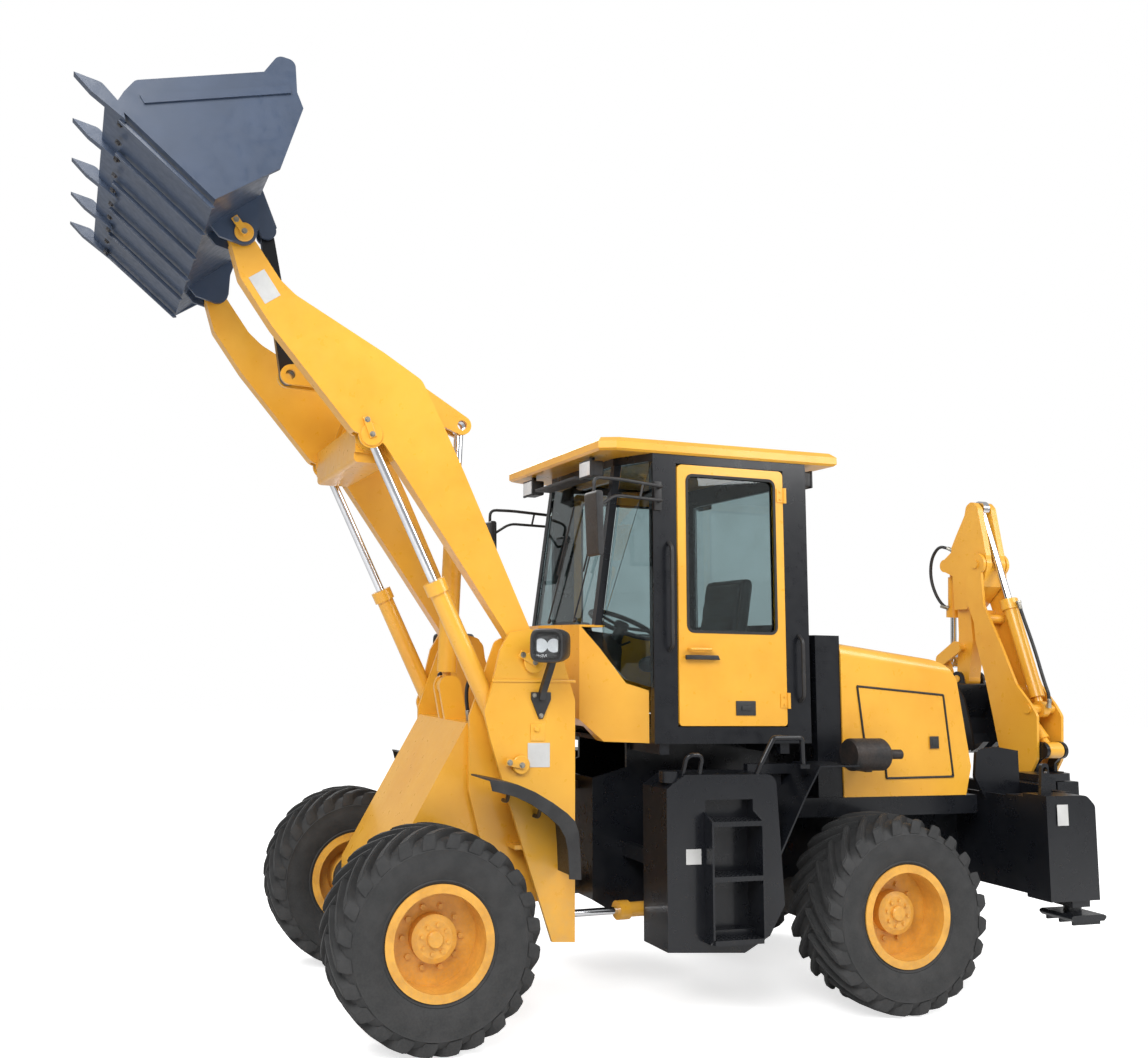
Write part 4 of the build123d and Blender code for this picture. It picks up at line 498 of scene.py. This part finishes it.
def cushionPiece(name, low, high, upAxis, turn, pivot, finishName):
    # a crowned pad between two corners, pulled in at its rim and quilted in channels
    size = [h - l for l, h in zip(low, high)]
    bm = bmesh.new()
    bmesh.ops.create_cube(bm, size=1)
    bmesh.ops.subdivide_edges(bm, edges=bm.edges, cuts=seatLook["cuts"], use_grid_fill=True)
    flat = [k for k in (0, 1, 2) if k != upAxis]
    for v in bm.verts:
        c = [v.co[k] * 2 for k in range(3)]
        fill = max(0.0, 1 - abs(c[flat[0]]) ** 4) * max(0.0, 1 - abs(c[flat[1]]) ** 4)
        channel = 0.5 + 0.5 * math.cos(c[flat[1]] * math.pi * seatLook["channels"])
        rim = 1 - 0.10 * abs(c[upAxis]) ** 3
        groove = seatLook["grooveDepth"] * channel ** 6 * (fill > 0.05)
        grow = (seatLook["crown"] * fill ** 0.5 - groove) if c[upAxis] > 0.99 else 0
        spotNow = [(low[k] + high[k]) / 2 + c[k] / 2 * size[k] * (rim if k in flat else 1) for k in range(3)]
        spotNow[upAxis] += grow
        turned = Matrix.Rotation(math.radians(turn), 3, "Y") @ (Vector(spotNow) - Vector(pivot))
        v.co = at(*(turned + Vector(pivot)))
    bmesh.ops.bevel(bm, geom=[e for e in bm.edges if e.calc_face_angle(0) > 1.0], offset=0.018, segments=4,
                    affect="EDGES", clamp_overlap=True)
    finishPiece(name, bm, finishName, "chassis", (), 60)


cushionPiece("seatCushion", (560, -235, 1832), (1000, 235, 1925), 2, -2, (560, 0, 1832), "seatFabric")
cushionPiece("seatBack", (505, -225, 1935), (585, 225, 2440), 0, -9, (545, 0, 1935), "seatFabric")
bm = bmesh.new()
addBlock(bm, (570, 850), (-200, 200), (1487.3, 1560), 8)
bellowsFolds, foldHeight = 6, 32
for i in range(bellowsFolds):
    grow = 12 if i % 2 else 0
    low = 1560 + i * foldHeight
    addBlock(bm, (585 - grow, 835 + grow), (-185 - grow, 185 + grow), (low, low + foldHeight), 6)
addBlock(bm, (560, 900), (-215, 215), (1752, 1826), 14)
addPlate(bm, [(515, 1860), (545, 1860), (480, 2440), (450, 2440)], "y", -205, 205, 12)
for hand in (-1, 1):
    addTube(bm, [(545, hand * 232, 1990), (600, hand * 262, 2040), (860, hand * 262, 2035)], 20, 12, 60)
finishPiece("seatStand", bm, "cabTrim", "chassis")
bm = bmesh.new()
wheelCentre, wheelTilt, wheelRadius = Vector((1236, 0, 2137)), math.radians(23), 203
u, v = Vector((math.cos(wheelTilt), 0, math.sin(wheelTilt))), Vector((0, 1, 0))
turns = [2 * math.pi * i / 40 for i in range(41)]
ring = [wheelCentre + u * wheelRadius * math.cos(t) + v * wheelRadius * math.sin(t) for t in turns]
addTube(bm, [tuple(p) for p in ring], 15, 10, 1, 1)
for t in (0, 2.09, 4.19):
    run = u * math.cos(t) + v * math.sin(t)
    spoke = ((20, 14), (100, 10), (196, 0))  # how far out and how low
    addTube(bm, [tuple(wheelCentre + run * out - Vector((0, 0, drop))) for out, drop in spoke], 10, 8, 30)
axisRun = Vector((-0.39, 0, 0.92))
hubLow, hubTop, columnTop = (tuple(wheelCentre + axisRun * k) for k in (-34, 16, -30))
addTurned(bm, hubLow, hubTop, [(0, 40), (0.6, 52), (1, 40)], 28)
addTurned(bm, (1440, 0, 1660), columnTop, [(0, 62), (0.5, 48), (0.52, 38), (1, 34)], 24)
addTube(bm, [(1330, 30, 1980), (1300, 120, 2010), (1280, 190, 2030)], 7, 8, 30)
finishPiece("steeringWheel", bm, "blackPlastic", "chassis", ("cab_interior",), 40)
bm = bmesh.new()
addPlate(bm, [(1565, 1490), (1685, 2060), (1640, 2092), (1480, 2075), (1395, 1990), (1440, 1490)], "y",
         -325, 325, 22, 4)
addPlate(bm, [(1500, 2070), (1650, 2085), (1630, 2150), (1520, 2140)], "y", -150, 150, 18, 4)
addBlock(bm, (1010, 1190), (-388, -262), (1487.3, 1740), 20, 4)
addBlock(bm, (430, 520), (-560, -300), (1487.3, 1900), 24, 4)
for y in (-300, -350):
    addTube(bm, [(1118, y, 1700), (1110, y, 1860), (1080, y - 8, 2080)], 8, 10, 60)
    addTurned(bm, (1117, y, 1738), (1112, y, 1830), [(0, 30), (0.3, 22), (0.5, 24), (0.7, 16), (1, 9)], 20)
    addTurned(bm, (1082, y - 7, 2070), (1074, y - 9, 2130), [(0, 10), (0.25, 24), (0.6, 26), (1, 10)], 20)
for y in (-160, 120):
    addBlock(bm, (1300, 1420), (y - 45, y + 45), (1530, 1556), 8)
finishPiece("dashAndConsole", bm, "cabTrim", "chassis")
knobs = [((1477, y, 2045), (-0.75, 0, 0.66)) for y in (-250, -190, 190, 250)]
boltSet("dashKnobs", knobs, "chassis", 14, "redPaint")

# lamps: shell, bright bowl and clear lens, turned outwards on their arms
lampTurn = {"pivot": (2060, 750), "angle": 52.0, "out": 36.0}


def turnLamp(bm, hand):
    pivot = at(lampTurn["pivot"][0], hand * lampTurn["pivot"][1], 0)
    spin = Matrix.Rotation(hand * math.radians(lampTurn["angle"]), 4, "Z")
    shift = Matrix.Translation((0, hand * lampTurn["out"] / 1000, 0))
    move = shift @ Matrix.Translation(pivot) @ spin @ Matrix.Translation(-pivot)
    bmesh.ops.transform(bm, verts=bm.verts, matrix=move)


for hand, sideName in sides:
    bm = bmesh.new()
    y = hand * 750
    rows = [(1925, 48, 44, 1998), (1960, 78, 78, 1994), (2080, 90, 88, 1992), (2160, 92, 90, 1990),
            (2182, 88, 84, 1988)]
    sections = []
    for x, halfY, halfZ, z in rows:
        ringNow = []
        for i in range(40):
            t = 2 * math.pi * i / 40
            c, s = math.cos(t), math.sin(t)
            ringNow.append(bm.verts.new(at(x, y + halfY * math.copysign(abs(c) ** 0.45, c),
                                           z + halfZ * math.copysign(abs(s) ** 0.45, s))))
        sections.append(ringNow)
    rim = [bm.verts.new(v.co.lerp(at(2182, y, 1988), 0.10)) for v in sections[-1]]
    bowl = [bm.verts.new(v.co.lerp(at(2110, y, 1988), 0.42)) for v in sections[-1]]
    sections += [rim, bowl]
    for first, second in zip(sections, sections[1:]):
        for i in range(40):
            bm.faces.new((first[i], first[(i + 1) % 40], second[(i + 1) % 40], second[i]))
    bm.faces.new(sections[0][::-1])
    bm.faces.new(bowl)
    turnLamp(bm, hand)
    addTube(bm, [(2056, hand * 640, 1700), (2052, hand * 648, 1742), (2046, hand * 770, 1922)], 24, 4, 20)
    addPlate(bm, [(1996, 1738), (2112, 1738), (2112, 1700), (2066, 1594), (2044, 1594), (1996, 1700)], "y",
             *sorted((hand * 622.3, hand * 634)), 3)
    finishPiece(f"headlamp.{sideName}", bm, "blackPlastic", "front", ("headlamps",), 40)
    bm = bmesh.new()
    addPlate(bm, [(y - 78, 1918), (y + 78, 1918), (y + 78, 2058), (y - 78, 2058)], "x", 2164, 2172, 3)
    turnLamp(bm, hand)
    finishPiece(f"headlampLens.{sideName}", bm, "lampGlass", "front")
    bm = bmesh.new()
    for bowlY in (y - 34, y + 34):
        addTurned(bm, (2118, bowlY, 1990), (2158, bowlY, 1990), [(0, 8), (0.02, 12), (0.5, 30), (1, 36)], 28)
    addBlock(bm, (2108, 2118), (y - 78, y + 78), (1916, 2060), 2)
    turnLamp(bm, hand)
    finishPiece(f"headlampBowls.{sideName}", bm, "lampReflector", "front")

# mirrors and roof lamps in place of the plain fittings
bm = bmesh.new()
addBlock(bm, (1350, 1396), (700.3, 712), (2770, 2935), 3)
addTube(bm, [(1372, 705, 2900), (1372, 760, 2900), (1660, 785, 2920), (1818, 798, 2920), (1818, 798, 2780)],
        10, 14, 45)
addTube(bm, [(1372, 705, 2820), (1372, 755, 2820), (1680, 780, 2830), (1814, 800, 2740)], 9, 14, 45)
addTube(bm, [(1500, 772, 2912), (1520, 772, 2825)], 7, 10, 5)
mirrorShell = [(1792, 2495), (1808, 2482), (1826, 2490), (1841, 2825), (1834, 2838), (1806, 2838),
               (1797, 2826)]
addPlate(bm, mirrorShell, "y", 722, 873, 14, 4)
mirrored(bm)
finishPiece("mirrorShells", bm, "blackPlastic", "chassis", ("cab_fittings",), 40)
bm = bmesh.new()
addPlate(bm, [(1789.4, 2508), (1791.6, 2508), (1797.6, 2812), (1795.4, 2812)], "y", 738, 857, 0.8, 1)
mirrored(bm)
finishPiece("mirrorFaces", bm, "mirrorFace", "chassis")
bm = bmesh.new()
roofLamps = ((1650, 430, 1), (330, 560, -1))  # x, y and which way each faces
for x, y, way in roofLamps:
    addBlock(bm, (x - 42, x + 42), (y - 74, y + 74), (2978, 3072), 12, 3)
    addBlock(bm, (x - 12, x + 12), (y - 14, y + 14), (3060, 3099.7), 3)
    front = x + way * 42
    addPlate(bm, [(y - 78, 2972), (y + 78, 2972), (y + 78, 3078), (y - 78, 3078)], "x",
             *sorted((front - way * 10, front + way * 4)), 5, 2)
mirrored(bm)
finishPiece("roofLampShells", bm, "blackPlastic", "chassis", (), 40)
bm = bmesh.new()
for x, y, way in roofLamps:
    front = x + way * 42
    addPlate(bm, [(y - 66, 2984), (y + 66, 2984), (y + 66, 3066), (y - 66, 3066)], "x",
             *sorted((front + way * 2, front + way * 8)), 2, 2)
mirrored(bm)
finishPiece("roofLampLenses", bm, "lampReflector", "chassis", (), 40)
print("cab fittings done")

# seals, handle, latch and hinges of the doors
doorLook = {"window": ((614, 1178), (2097, 2978)), "corner": 30, "handle": ((1000, 1216), 1944)}


def addFrame(bm, x, z, corner, width, low, high, bevel=2.0):
    # a closed band round a window with rounded corners, in the x-z plane
    outer, inner = [], []
    for grow, store in ((width, outer), (0.0, inner)):
        radius = corner + grow
        for cx, cz, start in ((x[1] - corner, z[1] - corner, 0), (x[0] + corner, z[1] - corner, 90),
                              (x[0] + corner, z[0] + corner, 180), (x[1] - corner, z[0] + corner, 270)):
            for step in range(7):
                t = math.radians(start + step * 15)
                store.append((cx + radius * math.cos(t), cz + radius * math.sin(t)))
    new = bmesh.new()
    loops = [[new.verts.new(at(a, level, b)) for a, b in line] for line, level in
             ((outer, low), (outer, high), (inner, high), (inner, low))]
    count = len(outer)
    for first, second in zip(loops, loops[1:] + loops[:1]):
        for i in range(count):
            new.faces.new((first[i], first[(i + 1) % count], second[(i + 1) % count], second[i]))
    bmesh.ops.recalc_face_normals(new, faces=new.faces)
    joinInto(bm, new)


for hand, sideName in sides:
    body = f"door_{sideName}"
    bm = bmesh.new()
    addFrame(bm, *doorLook["window"], doorLook["corner"], 16, *sorted((hand * 704.5, hand * 708.5)))
    addFrame(bm, *doorLook["window"], doorLook["corner"], 12, *sorted((hand * 668.0, hand * 671.0)))
    finishPiece(f"doorSeal.{sideName}", bm, "sealRubber", body)
    bm = bmesh.new()
    (x0, x1), z = doorLook["handle"]
    addPlate(bm, [(x0, z - 13), (x1, z - 13), (x1, z + 13), (x0 + 12, z + 13)], "y",
             *sorted((hand * 722, hand * 738)), 5, 3)
    for x in (x0 + 22, x1 - 22):
        addBlock(bm, (x - 14, x + 14), sorted((hand * 705.5, hand * 726)), (z - 11, z + 11), 4)
    addBlock(bm, (758, 886), sorted((hand * 705.5, hand * 712)), (1620, 1702), 4)
    addBlock(bm, (796, 852), sorted((hand * 710, hand * 718)), (1648, 1676), 5)
    finishPiece(f"doorHandle.{sideName}", bm, "blackPlastic", body)
    hinges = [((566, hand * 711, z), (0, hand, 0)) for z in (1683, 1727, 2878, 2922)]
    boltSet(f"doorHinges.{sideName}", hinges, body, 6, "yellowPaint")

# cab: grab rails, wipers and sun blind
bm = bmesh.new()
addTube(bm, [(1305, 702, 1980), (1305, 742, 2010), (1305, 742, 2560), (1305, 702, 2590)], 11, 12, 40)
addTube(bm, [(455, 702, 1700), (455, 740, 1730), (455, 740, 2050), (455, 702, 2080)], 11, 12, 40)
mirrored(bm)
finishPiece("grabRails", bm, "blackPlastic", "chassis", (), 40)
bm = bmesh.new()
for y in (-180, 190):
    addTurned(bm, (1642, y, 2150), (1655, y, 2156), [(0, 17), (0.6, 17), (1, 12)], 16)
    addTube(bm, [(1652, y, 2155), (1630, y + 60, 2330), (1592, y + 150, 2640)], 5, 8, 80)
    addTube(bm, [(1619, y + 60, 2440), (1568, y + 190, 2860)], 6, 6, 10)
finishPiece("wipers", bm, "blackPlastic", "chassis", (), 40)
bm = bmesh.new()
addPlate(bm, [(1585, 2985), (1700, 2985), (1700, 3004), (1585, 3004)], "y", -300, 300, 5)
finishPiece("sunBlind", bm, "cabTrim", "chassis")

# caps and lock plates over the pins, bare plates, and the lamps' bolts
pinLook = {"pins": [("front", 2100, 1900, 638, 60, 0.5), ("front", 2173, 1350, 636, 50, 0.2),
                    ("lift_arms", 3035, 3104, 590, 62, 1.2), ("loader_bucket", 3770, 4136, 622, 52, 0.9)]}
caps = {}
locks = {}


def turnedBox(x, z, along, across, turnBy):
    # the corners of a box in the x-z plane, turned about (x, z)
    c, q = math.cos(turnBy), math.sin(turnBy)
    box = ((along[0], across[0]), (along[1], across[0]), (along[1], across[1]), (along[0], across[1]))
    return [(x + a * c - b * q, z + a * q + b * c) for a, b in box]


for body, x, z, face, radius, turnBy in pinLook["pins"]:
    bm = caps.setdefault(body, bmesh.new())
    for hand in (1, -1):
        cap = [(0, radius), (0.7, radius), (1, radius - 4)]
        addTurned(bm, (x, hand * face, z), (x, hand * (face + 10), z), cap, 36)
        addPlate(bm, turnedBox(x, z, (-18, radius + 42), (-20, 20), turnBy), "y",
                 *sorted((hand * (face + 10), hand * (face + 20))), 4)
        for reach in (0, radius + 22):
            bolt = (x + reach * math.cos(turnBy), hand * (face + 20), z + reach * math.sin(turnBy))
            locks.setdefault(body, []).append((bolt, (0, hand, 0)))
for body, bm in caps.items():
    finishPiece(f"pinCaps.{body}", bm, "yellowPaint", body)
    boltSet(f"pinBolts.{body}", locks[body], body, 11)
plates = {"armPlate": ("lift_arms", turnedBox(3645, 3862, (-82, 82), (-50, 50), 0.96), 590.2, 592.2),
          "towerPlate": ("front", turnedBox(2063, 1400, (-65, 65), (-65, 65), 0), 622.2, 624.2),
          "tankPlate": ("chassis", turnedBox(1284, 885, (-46, 46), (-40, 40), 0), 900.2, 902),
          "legPlate": ("chassis", turnedBox(-1070, 1070, (-40, 40), (-60, 60), 0), 1040.3, 1042)}
for name, (body, corners, low, high) in plates.items():
    bm = bmesh.new()
    addPlate(bm, corners, "y", low, high, 0.8, 1)
    finishPiece(name, bm, "palePlate", body)
bm = bmesh.new()
for hand in (1, -1):
    addBlock(bm, (2028, 2112), sorted((hand * 622.2, hand * 627)), (1476, 1568), 2)
    addTurned(bm, (2078, hand * 626, 1540), (2078, hand * 636, 1540), [(0, 17), (0.7, 17), (1, 14)], 24)
    addBlock(bm, (1847, 2338), sorted((hand * 622.2, hand * 630)), (1792, 1806), 2)
finishPiece("towerPads", bm, "yellowPaint", "front")
lampBolts = [((x, hand * 634, z), (0, hand, 0)) for hand in (1, -1) for x, z in ((2094, 1722), (2055, 1612))]
boltSet("lampBolts", lampBolts, "front", 9)

# front mud guards: a moulded sheet with a deep outer edge, on two stays
guardEdge = [(2452, 1306), (2424, 1303), (2300, 1278), (2200, 1238), (2100, 1182), (2020, 1128), (1975, 1086),
             (1955, 1030), (1946, 930), (1940, 790)]
guardInner = [(2008, 795), (2016, 935), (2032, 1006), (2066, 1062), (2130, 1116), (2222, 1176), (2312, 1216),
              (2436, 1246)]
bm = bmesh.new()
inset = [(x + (9 if x < 1960 else 3), z - (9 if x > 1960 else 0)) for x, z in guardEdge]
addPlate(bm, guardEdge + inset[::-1], "y", 622.2, 899, 2)
addPlate(bm, guardEdge + guardInner, "y", 890, 899.5, 3, 3)
for x, z in ((2110, 1140), (2290, 1225)):
    addTube(bm, [(x - 20, 624, z - 60), (x - 20, 680, z - 60), (x, 760, z), (x, 880, z + 16)], 11, 12, 40)
mirrored(bm)
finishPiece("frontMudguards", bm, "blackPlastic", "front", ("front_fenders",), 30)

# loader bucket: wear ribs under the floor and edge bolts
bucketLook = {"ribs": 6, "ribSpan": 1960, "ribHalf": 12, "edgeBolts": 10, "boltSpan": 1900,
              "outward": (0.64, 0, -0.77)}


def spacedOut(count, span):
    return [(i / (count - 1) - 0.5) * span for i in range(count)]


bm = bmesh.new()
half = bucketLook["ribHalf"]
rib = [(4440, 4500), (3990, 4128), (3968, 4104), (3990, 4100), (4452, 4480)]
for y in spacedOut(bucketLook["ribs"], bucketLook["ribSpan"]):
    addPlate(bm, rib, "y", y - half, y + half, 3)
finishPiece("bucketRibs", bm, "bucketPaint", "loader_bucket")
edgeYs = spacedOut(bucketLook["edgeBolts"], bucketLook["boltSpan"])
spots = [((4440, y, 4482), bucketLook["outward"]) for y in edgeYs]
boltSet("edgeBolts", spots, "loader_bucket", 14, "wornSteel")

# hood: seals round the panels, latches and rear louvres
for hand, sideName in sides:
    body = f"hood_panel_{sideName}"
    outline = [(-26, 1790), (-64, 1479), (-202, 1438), (-217, 1244), (-706, 1249), (-654, 1742)]
    bm = bmesh.new()
    for first, second in zip(outline, outline[1:] + outline[:1]):
        addTube(bm, [(first[0], hand * 592.5, first[1]), (second[0], hand * 592.5, second[1])], 6.5, 8, 1)
    finishPiece(f"hoodSeal.{sideName}", bm, "sealRubber", body)
    bm = bmesh.new()
    addBlock(bm, (-602, -536), sorted((hand * 597.5, hand * 601.5)), (1418, 1492), 2)
    addBlock(bm, (-588, -550), sorted((hand * 600.5, hand * 604)), (1436, 1474), 4)
    finishPiece(f"hoodLatch.{sideName}", bm, "blackPlastic", body)
slatTree, source, result = startTree("louvres", {"Count": "Int", "Step": "Float", "Length": "Float",
                                                 "Depth": "Float", "Lean": "Float", "Material": "Material"})
row = add(slatTree, "GeometryNodeMeshLine", {"Count": source.outputs["Count"], "Offset": add(
    slatTree, "ShaderNodeCombineXYZ", {"Z": source.outputs["Step"]}).outputs[0]})
slat = add(slatTree, "GeometryNodeMeshCube", {"Size": add(slatTree, "ShaderNodeCombineXYZ", {
    "X": source.outputs["Depth"], "Y": source.outputs["Length"], "Z": 0.004}).outputs[0]})
lean = add(slatTree, "FunctionNodeEulerToRotation", {0: add(slatTree, "ShaderNodeCombineXYZ", {
    "Y": source.outputs["Lean"]}).outputs[0]})
rows = add(slatTree, "GeometryNodeInstanceOnPoints", {
    "Points": row.outputs[0], "Instance": slat.outputs["Mesh"], "Rotation": lean.outputs[0]})
endTree(slatTree, source, result, rows.outputs[0])
base = bpy.data.meshes.new("start")
base.from_pydata([(0, 0, 0)], [], [])
slatSizes = {"Count": 12, "Step": 0.028, "Length": 0.83, "Depth": 0.03, "Lean": 0.5}
louvres = runTree("tailLouvres", slatTree, base, slatSizes, "blackPaint", "chassis")
louvres.data.transform(Matrix.Translation(at(-790, 0, 1392)))

# steps: studs on each tread
studTree, source, result = startTree("treadStuds", {
    "Length": "Float", "Width": "Float", "Along": "Int", "Across": "Int", "Stud Radius": "Float",
    "Stud Height": "Float", "Material": "Material"})
grid = add(studTree, "GeometryNodeMeshGrid", {
    "Size X": source.outputs["Length"], "Size Y": source.outputs["Width"],
    "Vertices X": source.outputs["Along"], "Vertices Y": source.outputs["Across"]})
stud = add(studTree, "GeometryNodeMeshCylinder", {"Vertices": 8, "Radius": source.outputs["Stud Radius"],
                                                  "Depth": source.outputs["Stud Height"]})
studs = add(studTree, "GeometryNodeInstanceOnPoints", {"Points": grid.outputs[0],
                                                       "Instance": stud.outputs["Mesh"]})
endTree(studTree, source, result, studs.outputs[0])
studSizes = {"Length": 0.25, "Width": 0.10, "Along": 9, "Across": 4, "Stud Radius": 0.007,
             "Stud Height": 0.008}
for hand, sideName in sides:
    for level in (1050, 765, 440):
        base = bpy.data.meshes.new("start")
        base.from_pydata([(0, 0, 0)], [], [])
        piece = runTree(f"stepStuds.{sideName}.{level}", studTree, base, studSizes, "blackPaint", "chassis")
        piece.data.transform(Matrix.Translation(at(1062, hand * 915, level + 27)))

# hoses: loops at the tower and on the digging arm, with their ferrules
hoseLook = {"radius": 11.0, "routes": [
    ("loaderHoseA", "front", [(2240, 300, 1565), (2236, 302, 1640), (2275, 318, 1770), (2330, 300, 1830),
                              (2352, 262, 1770), (2352, 250, 1668), (2330, 240, 1565)]),
    ("loaderHoseB", "front", [(2160, 360, 1565), (2156, 362, 1650), (2190, 386, 1800), (2262, 390, 1860),
                              (2320, 384, 1790), (2336, 380, 1680), (2330, 376, 1565)]),
    ("loaderHoseC", "front", [(2240, -300, 1565), (2236, -302, 1640), (2275, -318, 1770), (2330, -300, 1830),
                              (2352, -262, 1770), (2352, -250, 1668), (2330, -240, 1565)]),
    ("stickHose", "stick_barrel", [(-1620, 240, 2366), (-1620, 262, 2290), (-1620, 352, 2060),
                                   (-1620, 424, 1820), (-1620, 462, 1730), (-1620, 446, 1664)]),
    ("curlHose", "stick", [(-1578, -350, 2335), (-1552, -392, 2350), (-1548, -485, 2520), (-1548, -480, 2690),
                           (-1552, -400, 2790), (-1560, -320, 2770), (-1560, -264, 2746)]),
]}


def routeCurve(name, points):
    curve = bpy.data.curves.new(name, "CURVE")
    curve.dimensions = "3D"
    line = curve.splines.new("NURBS")
    line.points.add(len(points) - 1)
    for point, spot in zip(line.points, points):
        point.co = (*at(*spot), 1)
    line.use_endpoint_u = True
    line.order_u = 3
    return curve


def hosePiece(name, body, points):
    curve = routeCurve(name, points)
    curve.bevel_depth = hoseLook["radius"] / 1000
    curve.bevel_resolution = 4
    curve.resolution_u = 10
    curve.use_fill_caps = True
    curve.materials.append(finishes["hoseRubber"])
    hose = bpy.data.objects.new(name, curve)
    bpy.context.scene.collection.objects.link(hose)
    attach(hose, body)
    return hose


def splineLength(points):
    curve = routeCurve("measure", points)
    total = curve.splines[0].calc_length()
    bpy.data.curves.remove(curve)
    return total


ferrule = [(0, 17), (0.25, 17), (0.27, 13.5), (0.95, 13.5), (1, 12)]
for name, body, points in hoseLook["routes"]:
    bm = bmesh.new()
    for end, nextPoint in ((points[0], points[1]), (points[-1], points[-2])):
        way = (Vector(nextPoint) - Vector(end)).normalized()
        addTurned(bm, end, tuple(Vector(end) + way * 58), ferrule, 12)
    ferrules = finishPiece(f"{name}.ferrules", bm, "zincBolt", body)
    hose = hosePiece(name, body, points)
    round(splineLength(points), 3)
print("details done")

# camera, as the photograph was taken
cameraView = {"spot": (3.1518, 6.4455, 1.9334), "yaw": 16.7694, "pitch": 7.1883, "roll": 1.0948,
              "focal": 1137.965, "centre": (408.645, 510.110), "image": (1148, 1058)}
yaw, pitch, roll = (math.radians(cameraView[k]) for k in ("yaw", "pitch", "roll"))
forward = Vector((-math.sin(yaw) * math.cos(pitch), -math.cos(yaw) * math.cos(pitch), math.sin(pitch)))
right = Vector((-math.cos(yaw), math.sin(yaw), 0))
up = right.cross(forward)
turnedRight = right * math.cos(roll) + up * math.sin(roll)
turnedUp = up * math.cos(roll) - right * math.sin(roll)
cameraData = bpy.data.cameras.new("camera")
camera = bpy.data.objects.new("camera", cameraData)
bpy.context.scene.collection.objects.link(camera)
aimed = Matrix((turnedRight, turnedUp, -forward)).transposed().to_4x4()
camera.matrix_world = Matrix.Translation(cameraView["spot"]) @ aimed
width, height = cameraView["image"]
cameraData.sensor_width = 36
cameraData.lens = cameraView["focal"] / width * 36
cameraData.shift_x = (width / 2 - cameraView["centre"][0]) / width
cameraData.shift_y = (cameraView["centre"][1] - height / 2) / width
bpy.context.scene.camera = camera

# floor, world and lamps
stageLook = {"floor": 30.0, "floorColour": (0.86, 0.86, 0.86), "floorGlow": 0.68, "world": 0.46,
             "lamps": [((5.5, 7.5, 8.0), 6.0, 900), ((-6.0, 6.0, 6.5), 5.0, 420),
                       ((1.0, -7.5, 8.5), 6.0, 520)]}
bm = bmesh.new()
bmesh.ops.create_grid(bm, x_segments=1, y_segments=1, size=stageLook["floor"])
floorMesh = bpy.data.meshes.new("floor")
bm.to_mesh(floorMesh)
bm.free()
floor = bpy.data.objects.new("floor", floorMesh)
bpy.context.scene.collection.objects.link(floor)
floorMaterial = bpy.data.materials.new("floorPaint")
floorMaterial.use_nodes = True
tree = floorMaterial.node_tree
shader = tree.nodes["Principled BSDF"]
shader.inputs["Roughness"].default_value = 0.9
shader.inputs["Base Color"].default_value = (*stageLook["floorColour"], 1)
path = add(tree, "ShaderNodeLightPath")
glow = add(tree, "ShaderNodeEmission", {"Color": (1, 1, 1, 1), "Strength": stageLook["floorGlow"]})
mixer = add(tree, "ShaderNodeAddShader")
onlyCamera = add(tree, "ShaderNodeMixShader", {0: path.outputs["Is Camera Ray"]})
tree.links.new(shader.outputs[0], mixer.inputs[0])
tree.links.new(glow.outputs[0], mixer.inputs[1])
tree.links.new(shader.outputs[0], onlyCamera.inputs[1])
tree.links.new(mixer.outputs[0], onlyCamera.inputs[2])
tree.links.new(onlyCamera.outputs[0], tree.nodes["Material Output"].inputs[0])
floorMesh.materials.append(floorMaterial)
world = bpy.data.worlds.new("studio")
bpy.context.scene.world = world
world.use_nodes = True
tree = world.node_tree
background = tree.nodes["Background"]
background.inputs["Color"].default_value = (1, 1, 1, 1)
path = add(tree, "ShaderNodeLightPath")
seen = add(tree, "ShaderNodeMath", {0: path.outputs["Is Camera Ray"], 1: path.outputs["Is Transmission Ray"]},
           operation="MAXIMUM").outputs[0]
tree.links.new(ranged(tree, seen, 0, 1, stageLook["world"], 1.0), background.inputs["Strength"])
for i, (spot, size, power) in enumerate(stageLook["lamps"]):
    lampData = bpy.data.lights.new(f"softbox{i}", "AREA")
    lampData.size = size
    lampData.energy = power
    lamp = bpy.data.objects.new(f"softbox{i}", lampData)
    bpy.context.scene.collection.objects.link(lamp)
    lamp.location = spot
    lamp.rotation_mode = "QUATERNION"
    lamp.rotation_quaternion = (Vector((0.3, 0, 1.8)) - Vector(spot)).to_track_quat("-Z", "Y")
bpy.context.scene.view_settings.view_transform = "Standard"
print("stage done")
